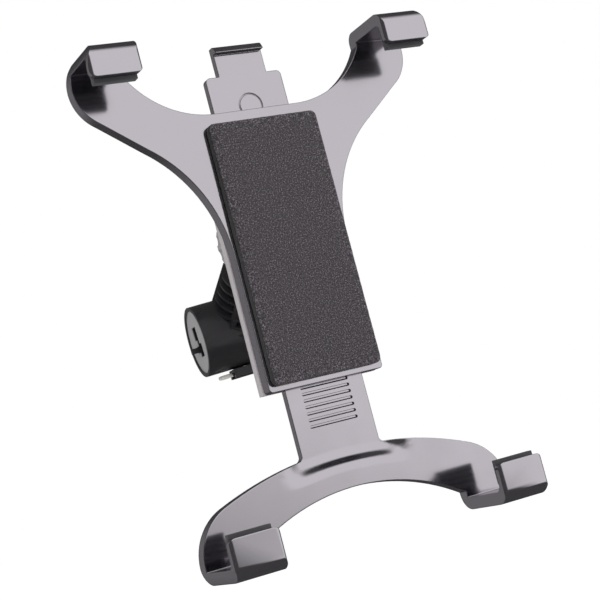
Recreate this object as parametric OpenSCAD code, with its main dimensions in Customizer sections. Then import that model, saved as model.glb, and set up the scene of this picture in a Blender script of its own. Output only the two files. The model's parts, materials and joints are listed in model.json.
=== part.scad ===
// Headrest tablet mount: a hooked cradle on a ball joint, with a clamp drum for the headrest arms.
// Frame: X to the right, the front faces -Y, Z up. The origin is the centre of the foam pad's front face.

/* [Foam pad] */
// Width of the pad
pad_w = 48; // [40:1:50]
// Height of the pad
pad_h = 105; // [80:1:108]
// Thickness of the pad
pad_t = 4; // [2:0.5:6]
// Corner radius of the pad
pad_corner_r = 2.5; // [1:0.5:6]

/* [Body] */
// Width of the body
body_w = 50.8; // [50.8:0.2:60]
// Height of the body's top edge above the pad's centre
body_top = 57.1; // [55:0.1:66]
// Depth of the body's bottom edge below the pad's centre
body_bottom = 54.7; // [54:0.1:66]
// Thickness of the front shell's plate
plate_t = 2.2; // [1.6:0.1:2.8]
// Depth of the front shell from its front face to the seam
shell_d = 5.3; // [5:0.1:7]
// Thickness of the front shell's outer wall
shell_wall = 1.8; // [1.2:0.1:2.2]
// Depth of the rear cover
cover_d = 7.2; // [6.6:0.1:10]
// Thickness of the rear cover's walls
cover_wall = 2; // [1.4:0.1:2.4]
// Radius of the rear cover's outer edges
cover_edge_r = 3; // [1:0.5:4]
// Height of the seam between the shells
seam_h = 1.3; // [0.8:0.1:1.6]
// Depth of the seam between the shells
seam_d = 0.8; // [0.4:0.1:1]

/* [Upper arms] */
// Half of the span over both arms
arm_span = 73.8; // [70:0.2:90]
// Height of the gripping face of the upper hooks above the pad's centre
upper_grip = 79.2; // [75:0.2:95]
// Radius of the concave edge below each arm
arm_low_r = 57.2; // [50:0.2:60]
// Radius of the concave edge above each arm
arm_up_r = 40; // [34:1:44]
// Half width of the straight top edge between the arms
arm_flat = 18; // [17.5:0.5:20]
// Radius of each arm's outer end
arm_end_r = 17.3; // [14:0.1:19]
// Depth of the centre of that radius below the gripping face
arm_end_drop = 5.4; // [4:0.2:8]
// Thickness of the ribs behind the arms
rib_t = 1.4; // [1:0.1:2]

/* [Hooks] */
// Width of each hook at the arm
hook_w = 20.9; // [18:0.1:26]
// Reach of the upper hooks in front of the arm's front face
upper_reach = 23.2; // [20:0.2:32]
// Reach of the lower hooks in front of the arch's front face
lower_reach = 27.6; // [22:0.2:34]
// Thickness of the upper hooks' top wall
hook_wall = 4.8; // [3:0.1:6]
// Thickness of the lips
lip_t = 3.2; // [2:0.1:4]
// Height of the upper lips below the gripping face
upper_lip_h = 8.6; // [7:0.2:12]
// Height of the lower lips above the gripping face
lower_lip_h = 10.6; // [7:0.2:12]
// Outer bend radius between a hook's wall and its lip
bend_r = 5.4; // [4:0.2:7]
// Radius of the upper hooks' back edge
upper_back_r = 4; // [2:0.5:4.5]
// Radius of the lower hooks' back edge
lower_back_r = 7; // [3:0.5:8]
// Radius in the corner between a hook's wall and its lip
inner_r = 2.6; // [1:0.2:3]
// Radius of the lips' upright edges
lip_edge_r = 1.5; // [0.6:0.1:2]
// Corner radius of the lips
lip_corner_r = 2.6; // [1:0.2:3.6]

/* [Hook liners] */
// Thickness of the liners
liner_t = 3.4; // [2:0.2:4]
// Inset of the liners from the lip's sides
liner_inset = 1.8; // [1:0.2:4]
// How far the liners stand past the lip's free edge
liner_out = 1.6; // [0:0.2:2.5]

/* [Lower bracket] */
// Inset of the tongue's sides from the body's sides
tongue_side = 8; // [8:0.2:10]
// Thickness of the tongue
tongue_t = 3; // [2.4:0.1:3.4]
// Height of the tongue's top edge below the pad's centre
tongue_top = 10; // [8:0.5:14]
// Depth of the arch's crown below the pad's centre
arch_top = 81.5; // [78:0.5:100]
// Radius of the arch's upper edge
arch_r = 150; // [140:1:160]
// Radius of the arch's lower edge
arch_in_r = 90; // [84:1:96]
// Height of the arch at its crown
arch_h = 15.6; // [14:0.2:20]
// Half of the span over the arch
arch_span = 68.4; // [66:0.2:76]
// Radius of the arch's ends
arch_end_r = 21; // [16:0.5:22]
// Depth of the gripping face of the lower hooks below the pad's centre
lower_grip = 113.2; // [110:0.2:130]
// Thickness of the lower hooks' bottom wall
lower_wall = 5; // [3:0.2:6]
// Inner half distance between the lower hooks
lower_gap = 47.7; // [40:0.1:50]
// Depth of the arch from front to back
arch_d = 5.2; // [4:0.1:7]
// Height of the bend from the tongue's face forward to the arch's face
flare_h = 4.6; // [3:0.2:6]
// How far that bend reaches past the tongue's sides
flare_w = 6; // [3:0.5:8]
// Number of grooves across the tongue
groove_n = 7; // [4:1:12]
// Distance between the grooves
groove_pitch = 2.6; // [2.2:0.1:3]
// Length of the grooves
groove_l = 21.4; // [14:0.2:26]
// Width of the grooves
groove_w = 1.2; // [0.8:0.1:1.6]
// Depth of the grooves
groove_d = 0.8; // [0.4:0.1:1.2]

/* [Centre hook] */
// Inset of the slider's sides from the body's sides
slider_side = 8.6; // [8.4:0.2:11]
// Height of the slider's shoulders above the pad's centre
slider_top = 72.7; // [70:0.1:80]
// Height of the slider's lower edge above the pad's centre
slider_foot = 45; // [42:0.5:46]
// Width of the centre hook's tab
tab_w = 21.2; // [16:0.2:26]
// Height of the tab's top above the upper hooks' gripping face
tab_rise = 5.8; // [2:0.2:8]
// Reach of the tab's lip in front of the slider's face
tab_lip = 5; // [3:0.5:8]
// Height of the tab's lip
tab_lip_h = 3; // [2:0.2:4]
// Radius of the ring mark on the slider
ring_r = 5.2; // [3:0.2:7]

/* [Ball joint] */
// Height of the ball joint above the pad's centre
ball_z = 9; // [6:0.5:12]
// Distance of the ball's centre behind the rear cover
ball_back = 18.5; // [16:0.5:20]
// Radius of the ball
ball_r = 8.5; // [7.5:0.1:8.8]
// Thickness of the ball seat
seat_t = 1.2; // [0.8:0.1:1.4]
// Outer radius of the collar
collar_r = 12.6; // [12.4:0.1:14]
// Outer radius of the collar's flange
flange_r = 16; // [15:0.5:18]
// Outer radius of the lock nut over its lobes
nut_r = 18.6; // [16.6:0.2:18.6]
// Number of lobes on the lock nut
nut_lobes = 20; // [8:1:24]
// Length of the lock nut
nut_l = 14; // [10:0.5:15]

/* [Neck and drum] */
// Turn of the neck about the upright axis through the ball
neck_pan = -9.8; // [-16:0.2:-6]
// Roll of the neck and drum
neck_roll = -3.1; // [-6:0.1:0]
// Slope of the neck below the horizontal
neck_slope = 44; // [40:0.5:46]
// Distance from the ball's centre to the drum's axis
neck_l = 43.4; // [43:0.2:50]
// Radius of the stem next to the ball
stem_r = 3.6; // [3:0.1:3.8]
// Half width of the neck at its first rib
neck_w0 = 14.8; // [14.6:0.1:15.4]
// Half width of the neck at its last rib
neck_w1 = 22.2; // [18:0.2:24]
// Half depth of the neck's ribs
neck_d = 14.4; // [12:0.1:14.5]
// Number of ribs around the neck
neck_ribs = 7; // [5:1:8]
// Thickness of the neck's ribs
neck_rib_t = 1.1; // [0.8:0.1:1.4]
// Outer radius of the drum
drum_r = 15.3; // [14:0.1:17]
// Length of the drum
drum_l = 57.6; // [54:0.2:70]
// Thickness of the drum's sleeve
sleeve_t = 1.5; // [1.2:0.1:1.8]
// Height of each lobe of the slot
lobe_h = 5.7; // [5.2:0.1:5.9]
// Width of each lobe of the slot
lobe_w = 6.3; // [6:0.1:6.6]
// Thickness of the web between the lobes
web_t = 1.8; // [1.4:0.1:2.2]

/* [Hidden] */
$fn = 64;

// Clearances: sliding layers, running shafts, and curved faces of the ball joint
slide_gap = 0.3;
run_gap = 0.05;
ball_gap = 0.3;
lip_gap = 0.15;
liner_gap = 0.1;

// Depths, measured along Y from the pad's front face
shell_y = pad_t;
seam_y = shell_y + shell_d;
cover_y = seam_y + cover_d;
leaf_room = 1.4;
tongue_y = shell_y + plate_t + leaf_room;
channel_y0 = tongue_y - slide_gap;
channel_y1 = tongue_y + tongue_t + slide_gap;

// Upper arms: centres of the arcs, from their radii and from where they meet
body_x = body_w / 2;
low_cx = body_x + arm_low_r;
end_cx = arm_span - arm_end_r;
end_cz = upper_grip - arm_end_drop;
up_cz = body_top + arm_up_r;
hook_x0 = arm_span - hook_w;
arm_top = upper_grip + hook_wall;

// Direction square to the straight edge that touches the low arc and the end arc
arc_gap = norm([low_cx - end_cx, end_cz]);
edge_a = atan2(end_cz, end_cx - low_cx) + acos(min(1, (arm_low_r + arm_end_r) / arc_gap));
arc_lap = 0.05;

// Lower bracket: centres of the arcs
arch_cz = -arch_top - arch_r;
arch_in_cz = -arch_top - arch_h - arch_in_r;
arch_end_x = arch_span - arch_end_r;
arch_end_z = arch_cz + sqrt(pow(arch_r - arch_end_r, 2) - pow(arch_end_x, 2));
bracket_low = -lower_grip - lower_wall;
tongue_w = body_w - 2 * tongue_side;
flare_x = tongue_w / 2 + flare_w;

// Foot of the tongue: its fillets, and how far it sinks below the arch's edge
foot_r = 2.6;
foot_sink = 0.5;

// Centre hook
slider_w = body_w - 2 * slider_side;
tab_top = upper_grip + tab_rise;

// Screws that join the shells
screw_r = 1;
screw_head_r = 2;
screw_head_h = 1.1;
boss_r = 2.1;
channel_x = tongue_w / 2 + slide_gap;
screw_x = body_x - shell_wall - boss_r + 0.1;
screw_zs = [-46, 48];

// Guides and rails inside the body, and the ribs behind the arms
rail_t = 1.2;
front_rail_x = 13;
rear_rail_x = 11;
arm_rib_off = 12;

// Detent leaves: distances from the body's ends
leaf_in = 6;
leaf_l = 20;
leaf_nose = 3;
leaf_t = 0.5;

// Ball joint
ball_y = cover_y + ball_back;
flange_t = 1.6;
collar_y0 = cover_y - cover_wall - slide_gap - flange_t;
seat_r = ball_r + ball_gap + seat_t;
socket_r = ball_r + lip_gap;
mouth_a = 13;
collar_y1 = ball_y + socket_r * sin(mouth_a);
nut_y0 = ball_y + 0.6 - nut_l;

// Neck
rib_s0 = 14.2;
neck_lap = 8.6;
rib_s1 = neck_l - neck_lap;
rib_pitch = (rib_s1 - rib_s0) / (neck_ribs - 1);
bore_r = drum_r - sleeve_t;
core_r = bore_r - run_gap;
core_inset = 0.6;
core_half = drum_l / 2 - core_inset;
lobe_lap = 1.85;
latch_w = 2.4;
latch_h = 2.2;
latch_out = 3.2;
latch_travel = 2;
mouth_d = 2.5;
core_screw_x = 20;

// Lever under the drum
lever_x0 = -18;
lever_x1 = 14;
lever_w = 9;
lever_t = 2.6;
lever_pin_x = 11;
lever_pin_r = 1.2;
lever_pin_z = -drum_r - 2.2;
ear_r = 2.5;
ear_t = 1.6;
loop_r = 3;
rail_h = 1.2;
nose_x = -9;
nose_l = 4;
nose_w = 3;
nose_gap = 0.5;
nose_swing = 1.4;

// Extrudes a profile drawn in X and Z between two depths
module along_y(y0, y1) {
    translate([0, y1, 0])
    rotate([90, 0, 0])
    linear_extrude(y1 - y0)
    children();
}

// Extrudes a profile drawn in Y and Z between two places along X
module along_x(x0, x1) {
    translate([x0, 0, 0])
    rotate([90, 0, 90])
    linear_extrude(x1 - x0)
    children();
}

// Both sides of a mirrored shape
module both_sides() {
    children();
    mirror([1, 0, 0]) children();
}

// Rectangle between two corners
module rect(x0, z0, x1, z1) {
    translate([x0, z0]) square([x1 - x0, z1 - z0]);
}

// Rectangle with rounded corners
module round_rect(x0, z0, x1, z1, r) {
    rect(x0 + r, z0, x1 - r, z1);
    rect(x0, z0 + r, x1, z1 - r);
    for (x = [x0 + r, x1 - r], z = [z0 + r, z1 - r]) translate([x, z]) circle(r);
}

// Stadium centred on the origin, with its half length, its end radius and an inset
module stadium(half, r) {
    rect(r - half, -r, half - r, r);
    for (x = [r - half, half - r]) translate([x, 0]) circle(r);
}

// Outline of one upper arm, inset by d all round
module arm_outline(d) {
    low_r = arm_low_r + d;
    end_r = arm_end_r - d;
    difference() {
        rect(0, 0, arm_span - d, arm_top - d);
        translate([low_cx, 0]) circle(low_r, $fn = 128);
        // Above the concave top edge
        difference() {
            rect(-1, body_top - d, hook_x0 + d, arm_top + 1);
            difference() {
                rect(arm_flat, 0, arm_span, up_cz);
                translate([arm_flat, up_cz]) circle(arm_up_r + d, $fn = 128);
            }
        }
        // Outside the straight edge and the rounded end
        difference() {
            polygon([
                [low_cx, 0],
                [low_cx + (low_r - arc_lap) * cos(edge_a), (low_r - arc_lap) * sin(edge_a)],
                [end_cx - (end_r - arc_lap) * cos(edge_a), end_cz - (end_r - arc_lap) * sin(edge_a)],
                [end_cx, end_cz], [end_cx, arm_top + 1], [arm_span + 1, arm_top + 1], [arm_span + 1, 0]
            ]);
            translate([end_cx, end_cz]) circle(end_r, $fn = 96);
        }
    }
}

// Outline of the body and both arms, inset by d all round
module shell_outline(d) {
    round_rect(d - body_x, d - body_bottom, body_x - d, body_top - d, 1.5);
    both_sides() arm_outline(d);
}

// Square corner less its rounding: what a radius takes off at the origin's lower left
module corner_waste(r) {
    difference() {
        rect(-1, -1, r, r);
        translate([r, r]) circle(r);
    }
}

// Side profile of a hook that opens upwards: its lip's front at y0 and its wall's underside at z0
module hook_profile(y0, y1, z0, wall, lip_h, back_r) {
    difference() {
        rect(y0, z0, y1, z0 + wall + lip_h);
        difference() {
            rect(y0 + lip_t, z0 + wall, y1 + 1, z0 + wall + lip_h + 1);
            translate([y0 + lip_t, z0 + wall]) corner_fill(inner_r);
        }
        translate([y0, z0]) corner_waste(bend_r);
        translate([y1, z0]) mirror([1, 0]) corner_waste(back_r);
    }
}

// Fillet that fills a corner at the origin's lower left
module corner_fill(r) {
    difference() {
        rect(0, 0, r, r);
        translate([r, r]) circle(r);
    }
}

// Plan of a hook between x0 and x1, with its front at y0 and rounded upright edges
module hook_plan(x0, x1, y0, y1) {
    difference() {
        rect(x0, y0, x1, y1);
        translate([x0, y0]) corner_waste(lip_edge_r);
        translate([x1, y0]) mirror([1, 0]) corner_waste(lip_edge_r);
    }
}

// Front outline of a lip between x0 and x1 that ends at height z1, with rounded free corners
module lip_front(x0, x1, z0, z1) {
    difference() {
        rect(x0, z0, x1, z1);
        translate([x0, z1]) mirror([0, 1]) corner_waste(lip_corner_r);
        translate([x1, z1]) mirror([1, 0]) mirror([0, 1]) corner_waste(lip_corner_r);
    }
}

// Side profile of an upper hook
module upper_hook_profile() {
    translate([0, arm_top]) mirror([0, 1])
        hook_profile(shell_y - upper_reach, seam_y, 0, hook_wall, upper_lip_h, upper_back_r);
}

// One upper hook on the right arm
module upper_hook() {
    y0 = shell_y - upper_reach;
    free_z = upper_grip - upper_lip_h;
    intersection() {
        along_x(hook_x0, arm_span) upper_hook_profile();
        translate([0, 0, free_z - 1]) linear_extrude(arm_top - free_z + 2)
            hook_plan(hook_x0, arm_span, y0, seam_y + 1);
        along_y(y0 - 1, seam_y + 1) difference() {
            translate([0, free_z + arm_top]) mirror([0, 1])
                lip_front(hook_x0, arm_span, free_z - 1, arm_top);
            // The outer side follows the arm's rounded end
            difference() {
                rect(end_cx, end_cz, arm_span + 1, arm_top + 1);
                translate([end_cx, end_cz]) circle(arm_end_r, $fn = 96);
            }
        }
    }
}

// One lower hook on the right end of the arch
module lower_hook() {
    y0 = shell_y - lower_reach;
    y1 = shell_y + arch_d;
    free_z = lower_lip_h - lower_grip;
    intersection() {
        along_x(lower_gap, arch_span)
            hook_profile(y0, y1, bracket_low, lower_wall, lower_lip_h, lower_back_r);
        translate([0, 0, bracket_low - 1]) linear_extrude(free_z - bracket_low + 2)
            hook_plan(lower_gap, arch_span, y0, y1 + 1);
        along_y(y0 - 1, y1 + 1) difference() {
            lip_front(lower_gap, arch_span, bracket_low - 1, free_z);
            // The outer side follows the arch's rounded end
            difference() {
                rect(arch_end_x, bracket_low - 2, arch_span + 1, arch_end_z);
                translate([arch_end_x, arch_end_z]) circle(arch_end_r, $fn = 96);
            }
        }
    }
}

// The four places of the cover screws
module screw_places() {
    for (x = [-screw_x, screw_x], z = screw_zs) translate([x, 0, z]) children();
}

module front_shell() {
    color([0.16, 0.16, 0.18]) difference() {
        union() {
            along_y(shell_y, shell_y + plate_t) shell_outline(0);
            along_y(shell_y, seam_y) difference() {
                shell_outline(0);
                shell_outline(shell_wall);
            }
            both_sides() upper_hook();
            // Rib along the middle of each arm
            along_y(shell_y + plate_t - 0.1, seam_y - 1) both_sides() intersection() {
                arm_outline(shell_wall / 2);
                rect(body_x - shell_wall, 20, arm_span, arm_top);
                translate([low_cx, 0]) difference() {
                    circle(arm_low_r + arm_rib_off + rib_t, $fn = 128);
                    circle(arm_low_r + arm_rib_off, $fn = 128);
                }
            }
            // Side guides of the sliding layer and the rails that it runs on
            along_y(shell_y + plate_t - 0.1, seam_y) both_sides() {
                rect(channel_x, 1 - body_bottom, channel_x + rail_t, body_top - 1);
            }
            along_y(shell_y + plate_t - 0.1, channel_y0) both_sides() {
                rect(front_rail_x, 1 - body_bottom, front_rail_x + rail_t, body_top - 1);
            }
            screw_places() along_y(shell_y + plate_t - 0.1, seam_y) circle(boss_r);
        }
        screw_places() along_y(shell_y + plate_t, seam_y + 1) circle(screw_r + run_gap);
        // Mouths for the tongue and the centre hook
        along_y(channel_y0, seam_y + 1) {
            rect(-channel_x, -body_bottom - 1, channel_x, shell_wall + 0.5 - body_bottom);
            rect(-channel_x, body_top - shell_wall - 0.5, channel_x, body_top + 1);
        }
        // The upper hooks' back edge is round
        along_x(-arm_span - 1, arm_span + 1)
            translate([seam_y, arm_top]) mirror([1, 0]) mirror([0, 1]) corner_waste(upper_back_r);
    }
}

// Block of the rear cover with rounded outer edges, inset by d at its sides
module cover_block(y0, y1, d) {
    r = cover_edge_r;
    intersection() {
        translate([0, 0, -body_bottom]) linear_extrude(body_top + body_bottom) difference() {
            rect(d - body_x, y0, body_x - d, y1);
            both_sides() translate([body_x - d - r, y1 - r]) difference() {
                square(r + 1);
                circle(r);
            }
        }
        along_x(-body_x, body_x) difference() {
            rect(y0, d - body_bottom, y1, body_top - d);
            for (s = [-1, 1]) {
                z = s > 0 ? body_top - d - r : r + d - body_bottom;
                translate([y1 - r, z]) scale([1, s]) difference() {
                    square(r + 1);
                    circle(r);
                }
            }
        }
    }
}

module rear_cover() {
    color([0.62, 0.61, 0.63]) difference() {
        union() {
            difference() {
                union() {
                    cover_block(seam_y + seam_h, cover_y, 0);
                    along_y(seam_y, seam_y + seam_h + 0.1)
                        rect(seam_d - body_x, seam_d - body_bottom, body_x - seam_d, body_top - seam_d);
                }
                along_y(seam_y - 1, cover_y - cover_wall)
                    round_rect(cover_wall - body_x, cover_wall - body_bottom,
                        body_x - cover_wall, body_top - cover_wall, 1);
            }
            // Rails behind the tongue and the centre hook
            along_y(channel_y1, cover_y - cover_wall + 0.1) both_sides() {
                rect(rear_rail_x, 1 - body_bottom, rear_rail_x + rail_t, ball_z - flange_r - 2);
                rect(rear_rail_x, ball_z + flange_r + 2, rear_rail_x + rail_t, body_top - 1);
            }
            screw_places() along_y(seam_y, cover_y - cover_wall + 0.1) circle(boss_r);
        }
        // Bore that the collar turns in
        translate([0, 0, ball_z]) along_y(cover_y - cover_wall - 1, cover_y + 1) circle(collar_r + run_gap);
        screw_places() along_y(seam_y - 1, cover_y + 1) circle(screw_r + run_gap);
        screw_places() along_y(cover_y - screw_head_h, cover_y + 1) circle(screw_head_r + run_gap);
        // Mouths for the tongue and the centre hook
        along_y(seam_y - 1, channel_y1) {
            rect(-channel_x, -body_bottom - 1, channel_x, cover_wall + 0.5 - body_bottom);
            rect(-channel_x, body_top - cover_wall - 0.5, channel_x, body_top + 1);
        }
    }
}

module foam_pad() {
    soft = 0.6;
    x = pad_w / 2;
    z = pad_h / 2;
    color([0.33, 0.31, 0.33]) {
        along_y(soft, pad_t) round_rect(-x, -z, x, z, pad_corner_r);
        along_y(0, soft) round_rect(soft - x, soft - z, x - soft, z - soft, pad_corner_r);
    }
}

// Outline of the arch, inset by d all round
module arch_outline(d) {
    difference() {
        intersection() {
            translate([0, arch_cz]) circle(arch_r - d, $fn = 128);
            rect(d - arch_span, bracket_low + d, arch_span - d, -arch_top);
        }
        intersection() {
            translate([0, arch_in_cz]) circle(arch_in_r + d, $fn = 128);
            rect(-lower_gap - d, bracket_low - 1, lower_gap + d, 0);
        }
        rect(-lower_gap - d, bracket_low - 1, lower_gap + d, bracket_low + 1);
        both_sides() difference() {
            rect(arch_end_x, bracket_low - 1, arch_span + 1, arch_end_z + arch_end_r);
            translate([arch_end_x, arch_end_z]) circle(arch_end_r - d);
            translate([0, arch_cz]) difference() {
                circle(arch_r - d, $fn = 128);
                polygon([[0, 0], [arch_end_x * 2, (arch_end_z - arch_cz) * 2], [arch_end_x * 4, 0]]);
            }
        }
    }
}

// Turns a profile, drawn as radius and depth, about the centre of the arch's upper edge
module about_arch() {
    translate([0, 0, arch_cz]) rotate([-90, 0, 0]) rotate_extrude($fn = 360) children();
}

module tongue() {
    x = tongue_w / 2;
    foot_z = arch_cz + sqrt(pow(arch_r, 2) - pow(x, 2));
    difference() {
        along_y(tongue_y, tongue_y + tongue_t) {
            round_rect(-x, -arch_top - 4, x, -tongue_top, 2);
            // Fillets at the foot
            both_sides() translate([x - 0.1, foot_z - foot_sink]) corner_fill(foot_r);
        }
        for (i = [0 : groove_n - 1]) translate([0, 0, -body_bottom - 0.5 - i * groove_pitch])
            along_y(tongue_y - 1, tongue_y + groove_d) stadium(groove_l / 2, groove_w / 2);
    }
}

// Room in front of the tongue's foot: a slope that runs along the arch and fades out at its sides
module foot_scoop() {
    rise = tongue_y - shell_y;
    intersection() {
        about_arch() polygon([
            [arch_r - foot_sink - flare_h, shell_y - 1], [arch_r - foot_sink - flare_h, shell_y],
            [arch_r - foot_sink, tongue_y], [arch_r + flare_h, tongue_y], [arch_r + flare_h, shell_y - 1]
        ]);
        translate([0, 0, -arch_top - 2 * flare_h]) linear_extrude(4 * flare_h) polygon([
            [-flare_x - flare_w / rise, shell_y - 1], [flare_x + flare_w / rise, shell_y - 1],
            [tongue_w / 2, tongue_y], [-tongue_w / 2, tongue_y]
        ]);
    }
}

module lower_bracket() {
    color([0.16, 0.16, 0.18]) {
        difference() {
            union() {
                along_y(shell_y, shell_y + plate_t) arch_outline(0);
                along_y(shell_y, shell_y + arch_d) difference() {
                    arch_outline(0);
                    arch_outline(shell_wall);
                }
                // Thick root that carries the tongue
                along_y(shell_y, shell_y + arch_d) intersection() {
                    arch_outline(0);
                    rect(-flare_x - 1, -arch_top - 2 * flare_h, flare_x + 1, -arch_top + 1);
                }
            }
            foot_scoop();
            // The lower hooks' back edge is round
            along_x(-arch_span - 1, arch_span + 1)
                translate([shell_y + arch_d, bracket_low]) mirror([1, 0]) corner_waste(lower_back_r);
        }
        tongue();
        both_sides() lower_hook();
    }
}

module centre_hook() {
    x = slider_w / 2;
    t = tab_w / 2;
    color([0.18, 0.18, 0.2]) difference() {
        union() {
            along_y(tongue_y, tongue_y + tongue_t) {
                round_rect(-x, slider_foot, x, slider_top, 2);
                rect(-t, slider_top - 3, t, tab_top);
            }
            along_x(-t, t) difference() {
                rect(tongue_y - tab_lip, tab_top - tab_lip_h, tongue_y + tongue_t, tab_top);
                translate([tongue_y - tab_lip + 1, tab_top - 1]) difference() {
                    rect(-2, 0, 0, 2);
                    circle(1);
                }
            }
        }
        // Ring mark
        translate([0, 0, body_top + 2.4]) along_y(tongue_y - 1, tongue_y + 0.25) difference() {
            circle(ring_r);
            circle(ring_r - 0.5);
        }
    }
}

// Soft pad behind the lip of an upper hook, on the right
module upper_liner() {
    y0 = shell_y - upper_reach + lip_t;
    free_z = upper_grip - upper_lip_h;
    color([0.1, 0.1, 0.11]) along_y(y0, y0 + liner_t)
        rect(hook_x0 + liner_inset, free_z - liner_out, arm_span - liner_inset, upper_grip - inner_r - liner_gap);
}

// Soft pad behind the lip of a lower hook, on the right
module lower_liner() {
    y0 = shell_y - lower_reach + lip_t;
    free_z = lower_lip_h - lower_grip;
    color([0.1, 0.1, 0.11]) along_y(y0, y0 + liner_t)
        rect(lower_gap + liner_inset, inner_r + liner_gap - lower_grip, arch_span - liner_inset, free_z + liner_out);
}

module upper_right_liner() {
    upper_liner();
}

module upper_left_liner() {
    mirror([1, 0, 0]) upper_liner();
}

module lower_right_liner() {
    lower_liner();
}

module lower_left_liner() {
    mirror([1, 0, 0]) lower_liner();
}

// Flat leaf between the plate and the sliding layer, with a round nose
module detent_leaf(z0, z1, nose_z) {
    y0 = shell_y + plate_t;
    along_y(y0, y0 + leaf_t) rect(-4, z0, 4, z1);
    translate([0, y0 + leaf_t, nose_z]) rotate([0, 90, 0]) intersection() {
        cylinder(r = channel_y0 - y0 - leaf_t, h = 6, center = true);
        translate([0, 1, 0]) cube([4, 2, 6], center = true);
    }
}

module bracket_detent() {
    color("silver") 
        detent_leaf(leaf_in - body_bottom, leaf_in + leaf_l - body_bottom, leaf_in + leaf_nose - body_bottom);
}

module hook_detent() {
    color("silver") 
        detent_leaf(body_top - leaf_in - leaf_l, body_top - leaf_in, body_top - leaf_in - leaf_nose);
}

module cover_screws() {
    color("silver") screw_places() difference() {
        union() {
            along_y(shell_y + plate_t + 0.6, cover_y - screw_head_h + 0.1) circle(screw_r);
            along_y(cover_y - screw_head_h, cover_y - 0.1) circle(screw_head_r);
        }
        along_y(cover_y - 0.8, cover_y + 1) {
            rect(-1.3, -0.25, 1.3, 0.25);
            rect(-0.25, -1.3, 0.25, 1.3);
        }
    }
}

// Turns a profile drawn as radius and depth about the ball joint's axis
module about_joint_axis() {
    translate([0, 0, ball_z]) rotate([-90, 0, 0]) rotate_extrude() children();
}

module swivel_collar() {
    color([0.2, 0.2, 0.22]) difference() {
        about_joint_axis() difference() {
            union() {
                rect(0, collar_y0, flange_r, collar_y0 + flange_t);
                rect(0, collar_y0, collar_r, collar_y1);
            }
            intersection() {
                translate([0, ball_y]) circle(seat_r + ball_gap);
                rect(0, 0, flange_r, ball_y - 1);
            }
            intersection() {
                translate([0, ball_y]) circle(socket_r);
                rect(0, 0, flange_r, ball_y + flange_r);
            }
            rect(0, collar_y0 - 1, 6, ball_y - seat_r);
        }
        // Slits between the fingers
        for (a = [45, 135]) translate([0, 0, ball_z]) rotate([0, a, 0])
            translate([-20, ball_y - 7, -0.7]) cube([40, 20, 1.4]);
    }
}

module lock_nut() {
    chamfer = 2.5;
    color([0.72, 0.72, 0.74]) difference() {
        about_joint_axis() polygon([
            [collar_r + run_gap, nut_y0], [nut_r - 1.2, nut_y0], [nut_r, nut_y0 + 1.2],
            [nut_r, nut_y0 + nut_l - chamfer - 1], [nut_r - chamfer, nut_y0 + nut_l],
            [collar_r + run_gap, nut_y0 + nut_l]
        ]);
        // Hollows between the lobes
        for (i = [0 : nut_lobes - 1]) translate([0, 0, ball_z]) rotate([0, (i + 0.5) * 360 / nut_lobes, 0])
            translate([nut_r + 0.6, nut_y0 - 1, 0]) rotate([-90, 0, 0]) cylinder(r = 2, h = nut_l + 2);
    }
}

module ball_seat() {
    cap_a = 42;
    color([0.85, 0.85, 0.82]) about_joint_axis() intersection() {
        translate([0, ball_y]) difference() {
            circle(seat_r);
            circle(ball_r + ball_gap);
        }
        translate([0, ball_y]) polygon([[3, -2 * seat_r], [3, 0], [0, 0],
            [2 * seat_r * sin(cap_a), -2 * seat_r * cos(cap_a)]]);
    }
}

// Frame of the neck and drum: the origin is the ball's centre, X is the drum's axis, -Z runs down the neck
module neck_frame() {
    translate([0, ball_y, ball_z])
    rotate([0, neck_roll, neck_pan])
    rotate([90 - neck_slope, 0, 0])
    children();
}

// Frame of the drum: the origin is its centre, X its axis, Y backwards and Z up
module drum_frame() {
    translate([0, ball_y, ball_z])
    rotate([0, neck_roll, neck_pan])
    translate([0, neck_l * cos(neck_slope), -neck_l * sin(neck_slope)])
    children();
}

function rib_half(i) = neck_w0 + (neck_w1 - neck_w0) * i / (neck_ribs - 1);

module neck() {
    // Ribs, and the core between them
    for (i = [0 : neck_ribs - 1]) {
        translate([0, 0, -rib_s0 - i * rib_pitch - neck_rib_t]) {
            linear_extrude(neck_rib_t) stadium(rib_half(i), neck_d);
            translate([0, 0, -rib_pitch]) linear_extrude(rib_pitch + 0.1)
                stadium(rib_half(i) - 3, neck_d - 3);
        }
    }
    // Spines across the ribs
    d = neck_d * sin(45);
    for (sx = [-1, 1], sy = [-1, 1]) scale([sx, sy, 1])
        translate([0, d + 0.5, 0]) rotate([90, 0, 0]) linear_extrude(2.4) polygon([
            [rib_half(0) - neck_d + d - 2, -rib_s0], [rib_half(0) - neck_d + d + 0.4, -rib_s0],
            [rib_half(neck_ribs - 1) - neck_d + d + 0.4, -rib_s1 - 1],
            [rib_half(neck_ribs - 1) - neck_d + d - 2, -rib_s1 - 1]
        ]);
    translate([0, 0, -neck_l]) cylinder(r = stem_r, h = neck_l - ball_r / 2);
}

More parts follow.
